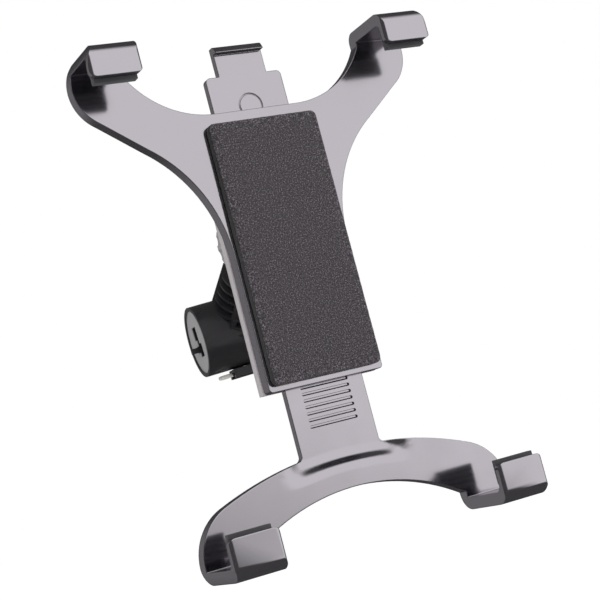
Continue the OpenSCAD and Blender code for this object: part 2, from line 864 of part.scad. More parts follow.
module neck_housing() {
    color([0.15, 0.15, 0.16]) {
        difference() {
            union() {
                neck_frame() {
                    neck();
                    sphere(ball_r);
                }
                drum_frame() rotate([0, 90, 0]) cylinder(r = drum_r, h = drum_l, center = true, $fn = 96);
                // Ears that hold the lever's pin
                drum_frame() for (s = [-1, 1])
                    translate([lever_pin_x, s * (lever_w + slide_gap * 2 + ear_t) / 2, lever_pin_z]) {
                        translate([0, 0, 2]) cube([2 * ear_r, ear_t, 4], center = true);
                        rotate([90, 0, 0]) cylinder(r = ear_r, h = ear_t, center = true);
                    }
            }
            drum_frame() {
                rotate([0, 90, 0]) cylinder(r = bore_r, h = drum_l + 2, center = true, $fn = 96);
                nose_window(1);
                lever_pin_line() cylinder(r = lever_pin_r + run_gap, h = 2 * lever_w, center = true);
                core_screw_places() cylinder(r = screw_r + run_gap, h = drum_r + 1);
            }
        }
    }
}

// Places of the screws that hold the core: Z points along each screw
module core_screw_places() {
    for (x = [-core_screw_x, core_screw_x]) translate([x, 0, 0]) rotate([-90, 0, 0]) children();
}

// Line of the lever's pin: Z points along the pin
module lever_pin_line() {
    translate([lever_pin_x, 0, lever_pin_z]) rotate([90, 0, 0]) children();
}

// Window for the lever's nose, from below the drum up to a depth under its axis
module nose_window(depth) {
    translate([nose_x - nose_l / 2 - nose_swing, -nose_w / 2 - nose_gap, -drum_r - 1])
        cube([nose_l + nose_swing + nose_gap, nose_w + 2 * nose_gap, drum_r + 1 - depth]);
}

// Z-shaped slot: the upper lobe lies to the back and the lower lobe to the front
module slot_lobes() {
    rect(-lobe_lap, web_t / 2, lobe_w - lobe_lap, web_t / 2 + lobe_h);
    rect(lobe_lap - lobe_w, -web_t / 2 - lobe_h, lobe_lap, -web_t / 2);
}

module clamp_core() {
    color([0.72, 0.71, 0.72]) drum_frame() difference() {
        rotate([0, 90, 0]) cylinder(r = core_r, h = 2 * core_half, center = true, $fn = 96);
        along_x(-core_half - 1, core_half + 1) slot_lobes();
        // The lobes join into one Z at each mouth
        for (s = [-1, 1]) translate([s * core_half, 0, 0])
            cube([2 * mouth_d, 2 * lobe_lap, web_t + 1], center = true);
        nose_window(web_t / 2 + 1);
        // Channel of the latch bar, with room for its travel
        along_x(-core_half - 1, latch_travel + slide_gap) latch_section(slide_gap);
        core_screw_places() translate([0, 0, core_r - 6]) cylinder(r = screw_r + run_gap, h = 8);
    }
}

// Section of the latch bar beside the lower lobe, grown by d
module latch_section(d) {
    x0 = lobe_lap + 0.15;
    z1 = -web_t / 2 - 1.1;
    rect(x0 - d, z1 - latch_h - d, x0 + latch_w + d, z1 + d);
}

module latch_bar() {
    color([0.1, 0.1, 0.1]) drum_frame() along_x(-core_half - latch_out, 0) latch_section(0);
}

module core_screws() {
    color("silver") drum_frame() core_screw_places() {
        translate([0, 0, core_r - 5]) cylinder(r = screw_r, h = 5 + sleeve_t + 0.3);
        translate([0, 0, drum_r]) cylinder(r = screw_head_r, h = screw_head_h);
    }
}

module lock_lever() {
    z1 = -drum_r - slide_gap;
    z0 = z1 - lever_t;
    color([0.12, 0.12, 0.13]) drum_frame() difference() {
        union() {
            translate([lever_x0, -lever_w / 2, z0]) cube([lever_x1 - lever_x0, lever_w, lever_t]);
            for (s = [-1, 1]) translate([lever_x0, s * (lever_w - 2) / 2 - 1, z0 - rail_h])
                cube([lever_x1 - lever_x0, 2, rail_h + 0.1]);
            translate([nose_x - nose_l / 2, -nose_w / 2, z1 - 0.1])
                cube([nose_l, nose_w, drum_r - web_t / 2 - lobe_h]);
            // Pull loop at the free end
            translate([lever_x0 - loop_r, 0, z0]) linear_extrude(1.2) difference() {
                union() {
                    circle(loop_r);
                    rect(0, -loop_r + 0.8, loop_r + 0.5, loop_r - 0.8);
                }
                circle(loop_r - 0.9);
            }
        }
        lever_pin_line() cylinder(r = lever_pin_r + run_gap, h = 2 * lever_w, center = true);
    }
}

module lever_pin() {
    color("silver") drum_frame() lever_pin_line()
        cylinder(r = lever_pin_r, h = lever_w + 2 * (slide_gap + ear_t), center = true);
}

front_shell();
rear_cover();
foam_pad();
lower_bracket();
centre_hook();
upper_left_liner();
upper_right_liner();
lower_left_liner();
lower_right_liner();
bracket_detent();
hook_detent();
cover_screws();
swivel_collar();
lock_nut();
ball_seat();
neck_housing();
clamp_core();
core_screws();
latch_bar();
lock_lever();
lever_pin();
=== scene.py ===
"""Headrest tablet mount: finishes, reshaped mouldings, soft pads, thread and fasteners over its solid model.

Frame: X to the right, the front faces -Y, Z up, in metres. The origin is the centre of the foam pad's face.
"""

import json
import math

import bpy
from bpy.props import (
    BoolProperty,
    FloatProperty,
    FloatVectorProperty,
    IntProperty,
    PointerProperty,
)
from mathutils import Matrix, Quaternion, Vector


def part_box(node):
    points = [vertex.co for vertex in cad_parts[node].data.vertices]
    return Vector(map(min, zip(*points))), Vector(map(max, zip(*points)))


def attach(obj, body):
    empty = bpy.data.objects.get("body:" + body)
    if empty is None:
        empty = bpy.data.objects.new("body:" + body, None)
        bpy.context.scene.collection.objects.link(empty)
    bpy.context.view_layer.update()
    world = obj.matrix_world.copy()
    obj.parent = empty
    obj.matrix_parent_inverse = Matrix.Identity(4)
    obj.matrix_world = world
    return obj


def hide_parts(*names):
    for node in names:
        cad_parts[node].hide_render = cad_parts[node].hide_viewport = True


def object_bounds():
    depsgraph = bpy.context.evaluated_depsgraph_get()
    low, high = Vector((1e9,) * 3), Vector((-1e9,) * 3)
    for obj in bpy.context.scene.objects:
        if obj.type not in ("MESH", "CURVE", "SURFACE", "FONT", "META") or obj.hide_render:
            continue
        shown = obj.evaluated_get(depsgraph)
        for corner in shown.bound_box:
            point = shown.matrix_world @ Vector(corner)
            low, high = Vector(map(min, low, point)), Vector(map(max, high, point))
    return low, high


bl_info = {
    "name": "Headrest Tablet Mount",
    "version": (1, 0, 0),
    "blender": (4, 5, 0),
    "location": "View3D > Sidebar > Tablet Mount",
    "description": "Finishes, mouldings, soft pads, thread and fasteners of a headrest tablet mount",
    "category": "Object",
}

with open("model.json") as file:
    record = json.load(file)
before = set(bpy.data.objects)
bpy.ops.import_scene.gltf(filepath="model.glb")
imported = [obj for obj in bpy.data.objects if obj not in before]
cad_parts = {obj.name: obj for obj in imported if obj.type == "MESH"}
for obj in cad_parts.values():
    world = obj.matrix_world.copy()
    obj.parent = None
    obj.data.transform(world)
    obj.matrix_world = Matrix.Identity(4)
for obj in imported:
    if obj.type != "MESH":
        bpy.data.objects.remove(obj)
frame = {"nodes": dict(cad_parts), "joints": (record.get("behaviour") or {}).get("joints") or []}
cad_low, cad_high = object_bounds()

MM = 0.001

# Nodes of the solid model and the finish that each one gets
GLOSS_NODES = ("front_shell",)
COVER_NODES = ("rear_cover",)
SATIN_NODES = ("swivel_collar", "neck_housing", "latch_bar", "lock_lever")
PALE_NODES = ("lock_nut",)
CORE_NODES = ("clamp_core",)
NYLON_NODES = ("ball_seat",)
STEEL_NODES = ("bracket_detent", "hook_detent")
LINER_BODIES = {
    "upper_left_liner": "cradle",
    "upper_right_liner": "cradle",
    "lower_left_liner": "bracket",
    "lower_right_liner": "bracket",
}

# Axis of the collar, the lock nut and its thread: along Y at this height
JOINT_AXIS_Z = (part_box("lock_nut")[0].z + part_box("lock_nut")[1].z) / 2
COLLAR_R = 12.6 * MM

# The centre hook's lip: the tab's thickness, the lip's height and corner in the solid model, its reach and lean
TAB_T = 3.0 * MM
LIP_H = 3.0 * MM
LIP_CORNER = 1.0 * MM
LIP_OUT = 2.6 * MM
LIP_LEAN = math.radians(30)
LIP_FLAT = 2.0 * MM

# The lower bracket: centre and radius of the arch's upper edge, its face, the tongue's face and half width
ARCH_Z = -231.5 * MM
ARCH_R = 150.0 * MM
ARCH_FRONT = 4.0 * MM
TONGUE_FRONT = 7.6 * MM
TONGUE_X = 17.4 * MM

# The tongue's grooves: place of the uppermost, pitch, half length and depth, and how steep their lower side is
GROOVE_TOP = -55.2 * MM
GROOVE_PITCH = 2.6 * MM
GROOVE_X = 10.8 * MM
GROOVE_D = 0.8 * MM
GROOVE_SLOPE = 0.2

# The hollow in front of the tongue's foot: depth below the arch's edge, reach to the sides, its narrow step,
# and the strips in which the face there is cut
HOLLOW_H = 9.0 * MM
HOLLOW_ROOM = 1.4 * HOLLOW_H
HOLLOW_RISE = 0.5 * MM
HOLLOW_X = 28.0 * MM
STEP_MIDDLE = 4.7 * MM
STEP_H = 3.2 * MM
STEP_X = 30.0 * MM
STEP_SHARE = 0.5
STRIP_H = 0.5 * MM
STRIP_W = 2.0 * MM

# The foam pad: radius round its face, size of the steps in its skin, and size of its pebbles
PAD_EDGE = 0.7 * MM
PAD_STEP = 0.6 * MM
PEBBLE_SIZE = 0.9 * MM

# The collar's thread: its height, the depth of its foot in the collar, and its gap at either end
THREAD_H = 0.35 * MM
THREAD_FOOT = 0.2 * MM
THREAD_GAP = 0.15 * MM

# Screws with a pan head, and the rivet's head
SCREW_R = 1.0 * MM
SCREW_HEAD_R = 2.0 * MM
SCREW_HEAD_H = 1.1 * MM
RIVET_R = 1.2 * MM
RIVET_HEAD_R = 2.0 * MM
RIVET_HEAD_H = 0.5 * MM

# Ring over the lever's loop: radius, wire and height above the lever's rails
LOOP_R = 3.0 * MM
LOOP_WIRE_R = 0.8 * MM
LOOP_HEIGHT = 1.8 * MM

# How nearly a reflection points at a soft box where the box starts and where it is full
FRONT_EDGES = (0.5, 0.8)
FADE_EDGES = (0.05, 0.29)
BACK_EDGES = (0.8, 0.95)

# The photograph's camera, fitted to the mount's corners: place, turns in degrees and sensor
CAMERA_PLACE = (-0.27016, -0.51467, -0.08365)
CAMERA_TURNS = (96.27, 14.64, -25.68)
SENSOR_W = 36.0


# Places read from the frame

def joint_axis(name):
    """The axis of a joint, as a unit vector."""
    return Vector([j["axis"] for j in frame["joints"] if j["name"] == name][0]).normalized()


def span(node, axis):
    """Where a node starts and ends along an axis through the origin."""
    reached = [point.co.dot(axis) for point in frame["nodes"][node].data.vertices]
    return min(reached), max(reached)


# Kinds of value that a user would change

def length_value(name, description, default, low, high):
    """A length between two ends, in metres."""
    return FloatProperty(name=name, description=description, default=default, min=low, max=high, unit="LENGTH")


def share_value(name, description, default):
    """A share from nothing to the whole."""
    return FloatProperty(name=name, description=description, default=default, min=0.0, max=1.0)


def colour_value(name, description, *default):
    """A colour."""
    return FloatVectorProperty(name=name, description=description, default=default,
                               min=0.0, max=1.0, subtype="COLOR")


def direction_value(name, description, *default):
    """A direction from the mount."""
    return FloatVectorProperty(name=name, description=description, default=default, subtype="DIRECTION")


class MountSizes(bpy.types.PropertyGroup):
    pad_corner: length_value(
        "Pad Corner", "Radius of the foam pad's four corners", 2.5 * MM, 0.5 * MM, 6 * MM)
    pad_crown: length_value(
        "Pad Crown", "How far the foam's face falls away towards its edges", 0.35 * MM, 0.0, 1 * MM)
    foam_relief: length_value(
        "Foam Relief", "Height of the foam's pebbled surface", 0.22 * MM, 0.0, 0.6 * MM)
    liner_round: length_value(
        "Liner Rounding", "Radius of the hook liners' soft edges", 0.7 * MM, 0.2 * MM, 1.5 * MM)
    thread_pitch: length_value(
        "Thread Pitch", "Pitch of the thread on the swivel collar", 1.25 * MM, 0.8 * MM, 2 * MM)
    edge_round: length_value(
        "Edge Softness", "Radius at which moulded edges catch the light", 0.35 * MM, 0.0, 1 * MM)
    gloss_round: length_value(
        "Gloss Edge Softness", "Radius at which polished edges catch the light", 0.6 * MM, 0.0, 1.5 * MM)
    groove_round: length_value(
        "Groove Softness", "Radius at which the grooves of the tongue catch the light", 0.15 * MM, 0.0, 1 * MM)
    screw_segments: IntProperty(
        name="Screw Segments", description="Facets round a screw head", default=32, min=12, max=64)


class MountFinishes(bpy.types.PropertyGroup):
    gloss_colour: colour_value("Gloss Black", "Colour of the polished shells and hooks", 0.012, 0.011, 0.015)
    satin_colour: colour_value("Satin Black", "Colour of the neck, drum and lever", 0.02, 0.019, 0.022)
    cover_colour: colour_value("Cover Plastic", "Colour of the rear cover", 0.56, 0.53, 0.545)
    pale_colour: colour_value("Pale Plastic", "Colour of the lock nut and the clamp core", 0.42, 0.41, 0.42)
    foam_colour: colour_value("Foam", "Colour of the foam pad", 0.072, 0.063, 0.072)
    liner_colour: colour_value("Liner Rubber", "Colour of the liners behind the lips", 0.06, 0.058, 0.064)
    nylon_colour: colour_value("Natural Nylon", "Colour of the ball seat and the pull ring", 0.62, 0.6, 0.52)
    steel_colour: colour_value("Plated Steel", "Colour of the screws, rivet and detents", 0.62, 0.62, 0.63)


class MountStudio(bpy.types.PropertyGroup):
    lens: FloatProperty(
        name="Lens", description="Focal length of the camera in millimetres",
        default=90.0, min=20.0, max=200.0, unit="CAMERA")
    fill: share_value("Surround", "Strength of the white surround on matt surfaces", 0.7)
    wall_light: share_value("Wall Light", "How light the walls between the soft boxes are", 0.07)
    front_box: direction_value("Front Box", "Direction of the wide soft box in front", 0.46, -0.88, 0.12)
    front_fade: direction_value(
        "Front Fade", "Direction in which the front box grows from its dim lower left to its full light",
        0.6, 0.0, 0.8)
    back_box: direction_value("Back Box", "Direction of the dim soft box behind", -0.5, 0.86, 0.1)
    back_light: share_value("Back Box Light", "How light the box behind is in reflections", 0.22)
    key: FloatProperty(
        name="Key Lamp", description="Power of the large soft lamp in front",
        default=3.0, min=0.0, max=10.0, unit="POWER")
    floor_drop: length_value("Floor Drop", "Height of the mount above the floor", 0.12, 0.0, 1.0)
    floor_colour: colour_value("Floor", "Colour of the floor", 0.95, 0.95, 0.95)
    floor_glow: share_value(
        "Floor Glow", "Light that the floor adds to the eye, so that it meets the white background", 0.35)
    show_floor: BoolProperty(name="Floor", description="Lay a floor under the mount", default=True)


# Node groups that several finishes share

def new_group(name, inputs, outputs):
    """A shader node group with the named sockets; returns its tree and its two end nodes."""
    tree = bpy.data.node_groups.new(name, "ShaderNodeTree")
    for label, kind, value in inputs:
        socket = tree.interface.new_socket(name=label, in_out="INPUT", socket_type=kind)
        if value is not None:
            socket.default_value = value
    for label, kind in outputs:
        tree.interface.new_socket(name=label, in_out="OUTPUT", socket_type=kind)
    start = tree.nodes.new("NodeGroupInput")
    end = tree.nodes.new("NodeGroupOutput")
    start.location = (-900, 0)
    end.location = (500, 0)
    return tree, start, end


def noise(tree, vector, scale, detail, place):
    """A noise texture; scale is a socket or a number."""
    node = tree.nodes.new("ShaderNodeTexNoise")
    node.location = place
    node.inputs["Detail"].default_value = detail
    if isinstance(scale, (int, float)):
        node.inputs["Scale"].default_value = scale
    else:
        tree.links.new(scale, node.inputs["Scale"])
    tree.links.new(vector, node.inputs["Vector"])
    return node.outputs["Fac"]


def remap(tree, value, low, high, to_low, to_high, place):
    """Maps a value from one range to another; the new ends are sockets or numbers."""
    node = tree.nodes.new("ShaderNodeMapRange")
    node.location = place
    node.inputs["From Min"].default_value = low
    node.inputs["From Max"].default_value = high
    tree.links.new(value, node.inputs["Value"])
    for label, end in (("To Min", to_low), ("To Max", to_high)):
        if isinstance(end, (int, float)):
            node.inputs[label].default_value = end
        else:
            tree.links.new(end, node.inputs[label])
    return node.outputs["Result"]


def mix_colour(tree, factor, first, second, place):
    """Mixes two colours by a factor; each colour is a socket or an RGBA value."""
    node = tree.nodes.new("ShaderNodeMix")
    node.data_type = "RGBA"
    node.location = place
    tree.links.new(factor, node.inputs["Factor"])
    for label, colour in (("A", first), ("B", second)):
        socket = [s for s in node.inputs if s.name == label and s.type == "RGBA"][0]
        if isinstance(colour, bpy.types.NodeSocket):
            tree.links.new(colour, socket)
        else:
            socket.default_value = colour
    return [s for s in node.outputs if s.type == "RGBA"][0]


def maths(tree, operation, first, second, place):
    """A maths node on two sockets or numbers."""
    node = tree.nodes.new("ShaderNodeMath")
    node.operation = operation
    node.location = place
    for i, value in enumerate((first, second)):
        if isinstance(value, (int, float)):
            node.inputs[i].default_value = value
        else:
            tree.links.new(value, node.inputs[i])
    return node.outputs["Value"]


def dot_product(tree, vector, direction):
    """How far a vector reaches along a direction."""
    node = tree.nodes.new("ShaderNodeVectorMath")
    node.operation = "DOT_PRODUCT"
    node.inputs[1].default_value = direction
    tree.links.new(vector, node.inputs[0])
    return node.outputs["Value"]


def make_moulded_texture():
    """Fine tool grain, slow flow waves and roughness changes of a moulded plastic."""
    tree, start, end = new_group(
        "Moulded Texture",
        (
            ("Vector", "NodeSocketVector", None),
            ("Grain Scale", "NodeSocketFloat", 900.0),
            ("Wave Share", "NodeSocketFloat", 0.5),
            ("Roughness Low", "NodeSocketFloat", 0.1),
            ("Roughness High", "NodeSocketFloat", 0.2),
        ),
        (("Height", "NodeSocketFloat"), ("Roughness", "NodeSocketFloat")),
    )
    vector = start.outputs["Vector"]
    grain = noise(tree, vector, start.outputs["Grain Scale"], 2.0, (-650, 200))
    wave = noise(tree, vector, 70.0, 1.0, (-650, -50))
    patch = noise(tree, vector, 45.0, 4.0, (-650, -300))
    share = maths(tree, "MULTIPLY", wave, start.outputs["Wave Share"], (-350, 0))
    height = maths(tree, "ADD", grain, share, (-100, 100))
    rough = remap(tree, patch, 0.35, 0.65, start.outputs["Roughness Low"],
                  start.outputs["Roughness High"], (-300, -300))
    tree.links.new(height, end.inputs["Height"])
    tree.links.new(rough, end.inputs["Roughness"])
    return tree


def make_handling_marks():
    """Faint smears and specks of dust over a colour."""
    tree, start, end = new_group(
        "Handling Marks",
        (
            ("Vector", "NodeSocketVector", None),
            ("Colour", "NodeSocketColor", (0.02, 0.02, 0.02, 1.0)),
            ("Dust Colour", "NodeSocketColor", (0.3, 0.3, 0.3, 1.0)),
            ("Amount", "NodeSocketFloat", 0.05),
        ),
        (("Colour", "NodeSocketColor"), ("Mask", "NodeSocketFloat")),
    )
    vector = start.outputs["Vector"]
    smear = noise(tree, vector, 38.0, 6.0, (-650, 200))
    speck = noise(tree, vector, 1600.0, 1.0, (-650, -50))
    smear = remap(tree, smear, 0.45, 0.75, 0.0, 0.6, (-400, 200))
    speck = remap(tree, speck, 0.7, 0.8, 0.0, 1.0, (-400, -50))
    mask = maths(tree, "MAXIMUM", smear, speck, (-200, 100))
    mask = maths(tree, "MULTIPLY", mask, start.outputs["Amount"], (0, 100))
    colour = mix_colour(tree, mask, start.outputs["Colour"], start.outputs["Dust Colour"], (250, 100))
    tree.links.new(colour, end.inputs["Colour"])
    tree.links.new(mask, end.inputs["Mask"])
    return tree


def make_open_cells():
    """Open cells of foam: pebbles, painted shade in the pits between them, and light specks."""
    tree, start, end = new_group(
        "Open Cells",
        (
            ("Vector", "NodeSocketVector", None),
            ("Cell Scale", "NodeSocketFloat", 1500.0),
            ("Colour", "NodeSocketColor", (0.08, 0.08, 0.08, 1.0)),
            ("Pit Shade Colour", "NodeSocketColor", (0.02, 0.02, 0.02, 1.0)),
            ("Speck Colour", "NodeSocketColor", (0.3, 0.3, 0.3, 1.0)),
        ),
        (
            ("Colour", "NodeSocketColor"),
            ("Height", "NodeSocketFloat"),
            ("Roughness", "NodeSocketFloat"),
        ),
    )
    vector = start.outputs["Vector"]
    cells = tree.nodes.new("ShaderNodeTexVoronoi")
    cells.location = (-650, 250)
    tree.links.new(vector, cells.inputs["Vector"])
    tree.links.new(start.outputs["Cell Scale"], cells.inputs["Scale"])
    pebble = noise(tree, vector, start.outputs["Cell Scale"], 3.0, (-650, -50))
    cloud = noise(tree, vector, 120.0, 3.0, (-650, -300))
    # Painted shade: the pits, the low places between the pebbles, are mixed towards the darker pit colour
    pit_shade_mask = remap(tree, pebble, 0.35, 0.52, 1.0, 0.0, (-400, -50))
    specks = remap(tree, pebble, 0.55, 0.7, 0.0, 0.8, (-400, -200))
    dark = mix_colour(tree, pit_shade_mask, start.outputs["Colour"], start.outputs["Pit Shade Colour"], (-150, 150))
    light = mix_colour(tree, specks, dark, start.outputs["Speck Colour"], (100, 150))
    height = maths(tree, "SUBTRACT", pebble, cells.outputs["Distance"], (-150, -150))
    rough = remap(tree, cloud, 0.3, 0.7, 0.72, 0.95, (-150, -300))
    tree.links.new(light, end.inputs["Colour"])
    tree.links.new(height, end.inputs["Height"])
    tree.links.new(rough, end.inputs["Roughness"])
    return tree


def make_zone_mask():
    """One inside a block of space and none outside, with a soft edge."""
    tree, start, end = new_group(
        "Zone Mask",
        (
            ("Vector", "NodeSocketVector", None),
            ("Centre", "NodeSocketVector", (0.0, 0.0, 0.0)),
            ("Half Size", "NodeSocketVector", (0.01, 0.01, 0.01)),
        ),
        (("Mask", "NodeSocketFloat"),),
    )
    vector = start.outputs["Vector"]
    for operation, second in (("SUBTRACT", "Centre"), ("DIVIDE", "Half Size"), ("ABSOLUTE", None)):
        node = tree.nodes.new("ShaderNodeVectorMath")
        node.operation = operation
        tree.links.new(vector, node.inputs[0])
        if second:
            tree.links.new(start.outputs[second], node.inputs[1])
        vector = node.outputs["Vector"]
    parts = tree.nodes.new("ShaderNodeSeparateXYZ")
    tree.links.new(vector, parts.inputs["Vector"])
    far = maths(tree, "MAXIMUM", parts.outputs["X"], parts.outputs["Y"], (-200, 0))
    far = maths(tree, "MAXIMUM", far, parts.outputs["Z"], (0, 0))
    tree.links.new(remap(tree, far, 0.85, 1.0, 1.0, 0.0, (200, 0)), end.inputs["Mask"])
    return tree


GROUP_MAKERS = {
    "Zone Mask": make_zone_mask,
    "Moulded Texture": make_moulded_texture,
    "Handling Marks": make_handling_marks,
    "Open Cells": make_open_cells,
}


def shared_group(name):
    """The shared node group of that name, built the first time."""
    return bpy.data.node_groups.get(name) or GROUP_MAKERS[name]()


def place_group(tree, name, vector, values, place):
    """Puts a shared group in a material with its own values."""
    node = tree.nodes.new("ShaderNodeGroup")
    node.node_tree = shared_group(name)
    node.location = place
    tree.links.new(vector, node.inputs["Vector"])
    for label, value in values.items():
        node.inputs[label].default_value = value
    return node


def rgba(colour, share=1.0):
    """An RGBA value from an RGB one, scaled by share."""
    return tuple(min(1.0, c * share) for c in colour) + (1.0,)


# Materials

def start_material(name, shader_values):
    """A new material with a Principled BSDF whose plain values are set on its own sockets."""
    made = bpy.data.materials.new(name)
    made.use_nodes = True
    tree = made.node_tree
    tree.nodes.clear()
    out = tree.nodes.new("ShaderNodeOutputMaterial")
    out.location = (600, 0)
    shader = tree.nodes.new("ShaderNodeBsdfPrincipled")
    shader.location = (300, 0)
    for label, value in shader_values.items():
        shader.inputs[label].default_value = value
    tree.links.new(shader.outputs["BSDF"], out.inputs["Surface"])
    coords = tree.nodes.new("ShaderNodeTexCoord")
    coords.location = (-900, 0)
    return made, tree, shader, coords.outputs["Object"]


def zone(tree, vector, low, high, place):
    """Mask of the space between two corners."""
    middle = (low + high) / 2
    values = {"Centre": middle, "Half Size": high - middle}
    return place_group(tree, "Zone Mask", vector, values, place).outputs["Mask"]


def add_relief(tree, shader, height, strength, distance, edge_round):
    """Feeds a height into the normal, over edges softened by edge_round, a number or a socket."""
    bump = tree.nodes.new("ShaderNodeBump")
    bump.location = (50, -350)
    bump.inputs["Strength"].default_value = strength
    bump.inputs["Distance"].default_value = distance
    tree.links.new(height, bump.inputs["Height"])
    if edge_round:
        edge = tree.nodes.new("ShaderNodeBevel")
        edge.location = (-200, -450)
        edge.samples = 8
        if isinstance(edge_round, float):
            edge.inputs["Radius"].default_value = edge_round
        else:
            tree.links.new(edge_round, edge.inputs["Radius"])
        tree.links.new(edge.outputs["Normal"], bump.inputs["Normal"])
    tree.links.new(bump.outputs["Normal"], shader.inputs["Normal"])


def surface_finish(name, colour, shader_values, texture, dust, relief, edge_round, zones=()):
    """A worked surface: tool texture, flow waves, smears, and soft edges, with zones of their own radius."""
    made, tree, shader, vector = start_material(name, shader_values)
    for low, high, radius in zones:
        edge_round = remap(tree, zone(tree, vector, low, high, (-700, -600)), 0.0, 1.0,
                           edge_round, radius, (-450, -600))
    grain = place_group(tree, "Moulded Texture", vector, texture, (-500, -200))
    marks = place_group(tree, "Handling Marks", vector, {
        "Colour": rgba(colour),
        "Dust Colour": rgba(dust["colour"]),
        "Amount": dust["amount"],
    }, (-500, 200))
    tree.links.new(marks.outputs["Colour"], shader.inputs["Base Color"])
    tree.links.new(grain.outputs["Roughness"], shader.inputs["Roughness"])
    add_relief(tree, shader, grain.outputs["Height"], relief["strength"], relief["distance"], edge_round)
    return made


def groove_zone(sizes):
    """The grooves in the tongue's face keep crisp edges."""
    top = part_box("lower_bracket")[1].z
    low = Vector((-TONGUE_X + 2 * MM, TONGUE_FRONT - 1 * MM, ARCH_Z + ARCH_R))
    high = Vector((TONGUE_X - 2 * MM, TONGUE_FRONT + 2 * MM, top))
    return ((low, high, sizes.groove_round),)


def gloss_black(finishes, sizes):
    """Polished black moulding that mirrors the soft boxes."""
    return surface_finish(
        "gloss_black_moulding",
        finishes.gloss_colour,
        {"IOR": 3.3, "Specular IOR Level": 0.95, "Specular Tint": (0.93, 0.88, 0.95, 1.0)},
        {"Grain Scale": 500.0, "Wave Share": 2.0, "Roughness Low": 0.1, "Roughness High": 0.17},
        {"colour": (0.2, 0.2, 0.22), "amount": 0.04},
        {"strength": 0.05, "distance": 0.02 * MM},
        sizes.gloss_round,
        groove_zone(sizes),
    )


def cover_plastic(finishes, sizes):
    """The rear cover's plastic, a little softer than the polished front."""
    return surface_finish(
        "cover_moulding",
        finishes.cover_colour,
        {"IOR": 1.5, "Specular IOR Level": 0.5},
        {"Grain Scale": 700.0, "Wave Share": 1.0, "Roughness Low": 0.2, "Roughness High": 0.3},
        {"colour": (0.25, 0.25, 0.26), "amount": 0.06},
        {"strength": 0.08, "distance": 0.02 * MM},
        sizes.edge_round,
    )


def satin_black(finishes, sizes):
    """Spark-eroded satin black of the neck, drum, latch and lever."""
    return surface_finish(
        "satin_black_moulding",
        finishes.satin_colour,
        {"IOR": 1.65, "Specular IOR Level": 0.7},
        {"Grain Scale": 2200.0, "Wave Share": 0.3, "Roughness Low": 0.26, "Roughness High": 0.36},
        {"colour": (0.22, 0.22, 0.22), "amount": 0.05},
        {"strength": 0.25, "distance": 0.03 * MM},
        sizes.edge_round,
    )


def pale_plastic(finishes, sizes):
    """Pale grey moulding of the lock nut and the clamp core."""
    return surface_finish(
        "pale_grey_moulding",
        finishes.pale_colour,
        {"IOR": 1.5, "Specular IOR Level": 0.5},
        {"Grain Scale": 1800.0, "Wave Share": 0.4, "Roughness Low": 0.32, "Roughness High": 0.45},
        {"colour": (0.2, 0.19, 0.18), "amount": 0.12},
        {"strength": 0.2, "distance": 0.03 * MM},
        sizes.edge_round,
    )


def core_plastic(finishes, sizes):
    """The clamp core: pale at its two end faces, with painted shade (satin black) inside its deep slot."""
    made = pale_plastic(finishes, sizes)
    made.name = "clamp_core_moulding"
    tree = made.node_tree
    shader = [node for node in tree.nodes if node.type == "BSDF_PRINCIPLED"][0]
    vector = [node for node in tree.nodes if node.type == "TEX_COORD"][0].outputs["Object"]
    along = joint_axis("latch_press")
    start, end = span("clamp_core", along)
    off = maths(tree, "SUBTRACT", dot_product(tree, vector, along), (start + end) / 2, (-300, 500))
    off = maths(tree, "ABSOLUTE", off, 0.0, (-150, 500))
    half = (end - start) / 2
    # Painted shade: away from its two end faces the core is painted satin black, standing in for the shade
    # inside the deep slot
    face = remap(tree, off, half - 0.5 * MM, half - 0.05 * MM, 0.0, 1.0, (0, 500))
    painted = shader.inputs["Base Color"].links[0].from_socket
    tree.links.new(mix_colour(tree, face, rgba(finishes.satin_colour), painted, (150, 500)),
                   shader.inputs["Base Color"])
    return made


def natural_nylon(finishes, sizes):
    """Waxy natural nylon of the ball seat and the pull ring."""
    return surface_finish(
        "natural_nylon",
        finishes.nylon_colour,
        {"IOR": 1.53, "Specular IOR Level": 0.5, "Subsurface Weight": 0.1},
        {"Grain Scale": 1500.0, "Wave Share": 0.5, "Roughness Low": 0.35, "Roughness High": 0.5},
        {"colour": (0.4, 0.36, 0.28), "amount": 0.1},
        {"strength": 0.15, "distance": 0.02 * MM},
        sizes.edge_round,
    )


def liner_rubber(finishes):
    """Matt rubber of the soft liners behind the lips."""
    return surface_finish(
        "liner_rubber",
        finishes.liner_colour,
        {"IOR": 1.5, "Specular IOR Level": 0.4, "Sheen Weight": 0.15, "Sheen Roughness": 0.5},
        {"Grain Scale": 2600.0, "Wave Share": 0.2, "Roughness Low": 0.55, "Roughness High": 0.75},
        {"colour": (0.3, 0.3, 0.3), "amount": 0.1},
        {"strength": 0.4, "distance": 0.05 * MM},
        0.0,
    )


def plated_steel(finishes):
    """Bright plated steel with fine handling scratches."""
    return surface_finish(
        "plated_steel",
        finishes.steel_colour,
        {"Metallic": 1.0},
        {"Grain Scale": 3200.0, "Wave Share": 0.2, "Roughness Low": 0.18, "Roughness High": 0.34},
        {"colour": (0.3, 0.29, 0.27), "amount": 0.25},
        {"strength": 0.1, "distance": 0.02 * MM},
        0.0,
    )


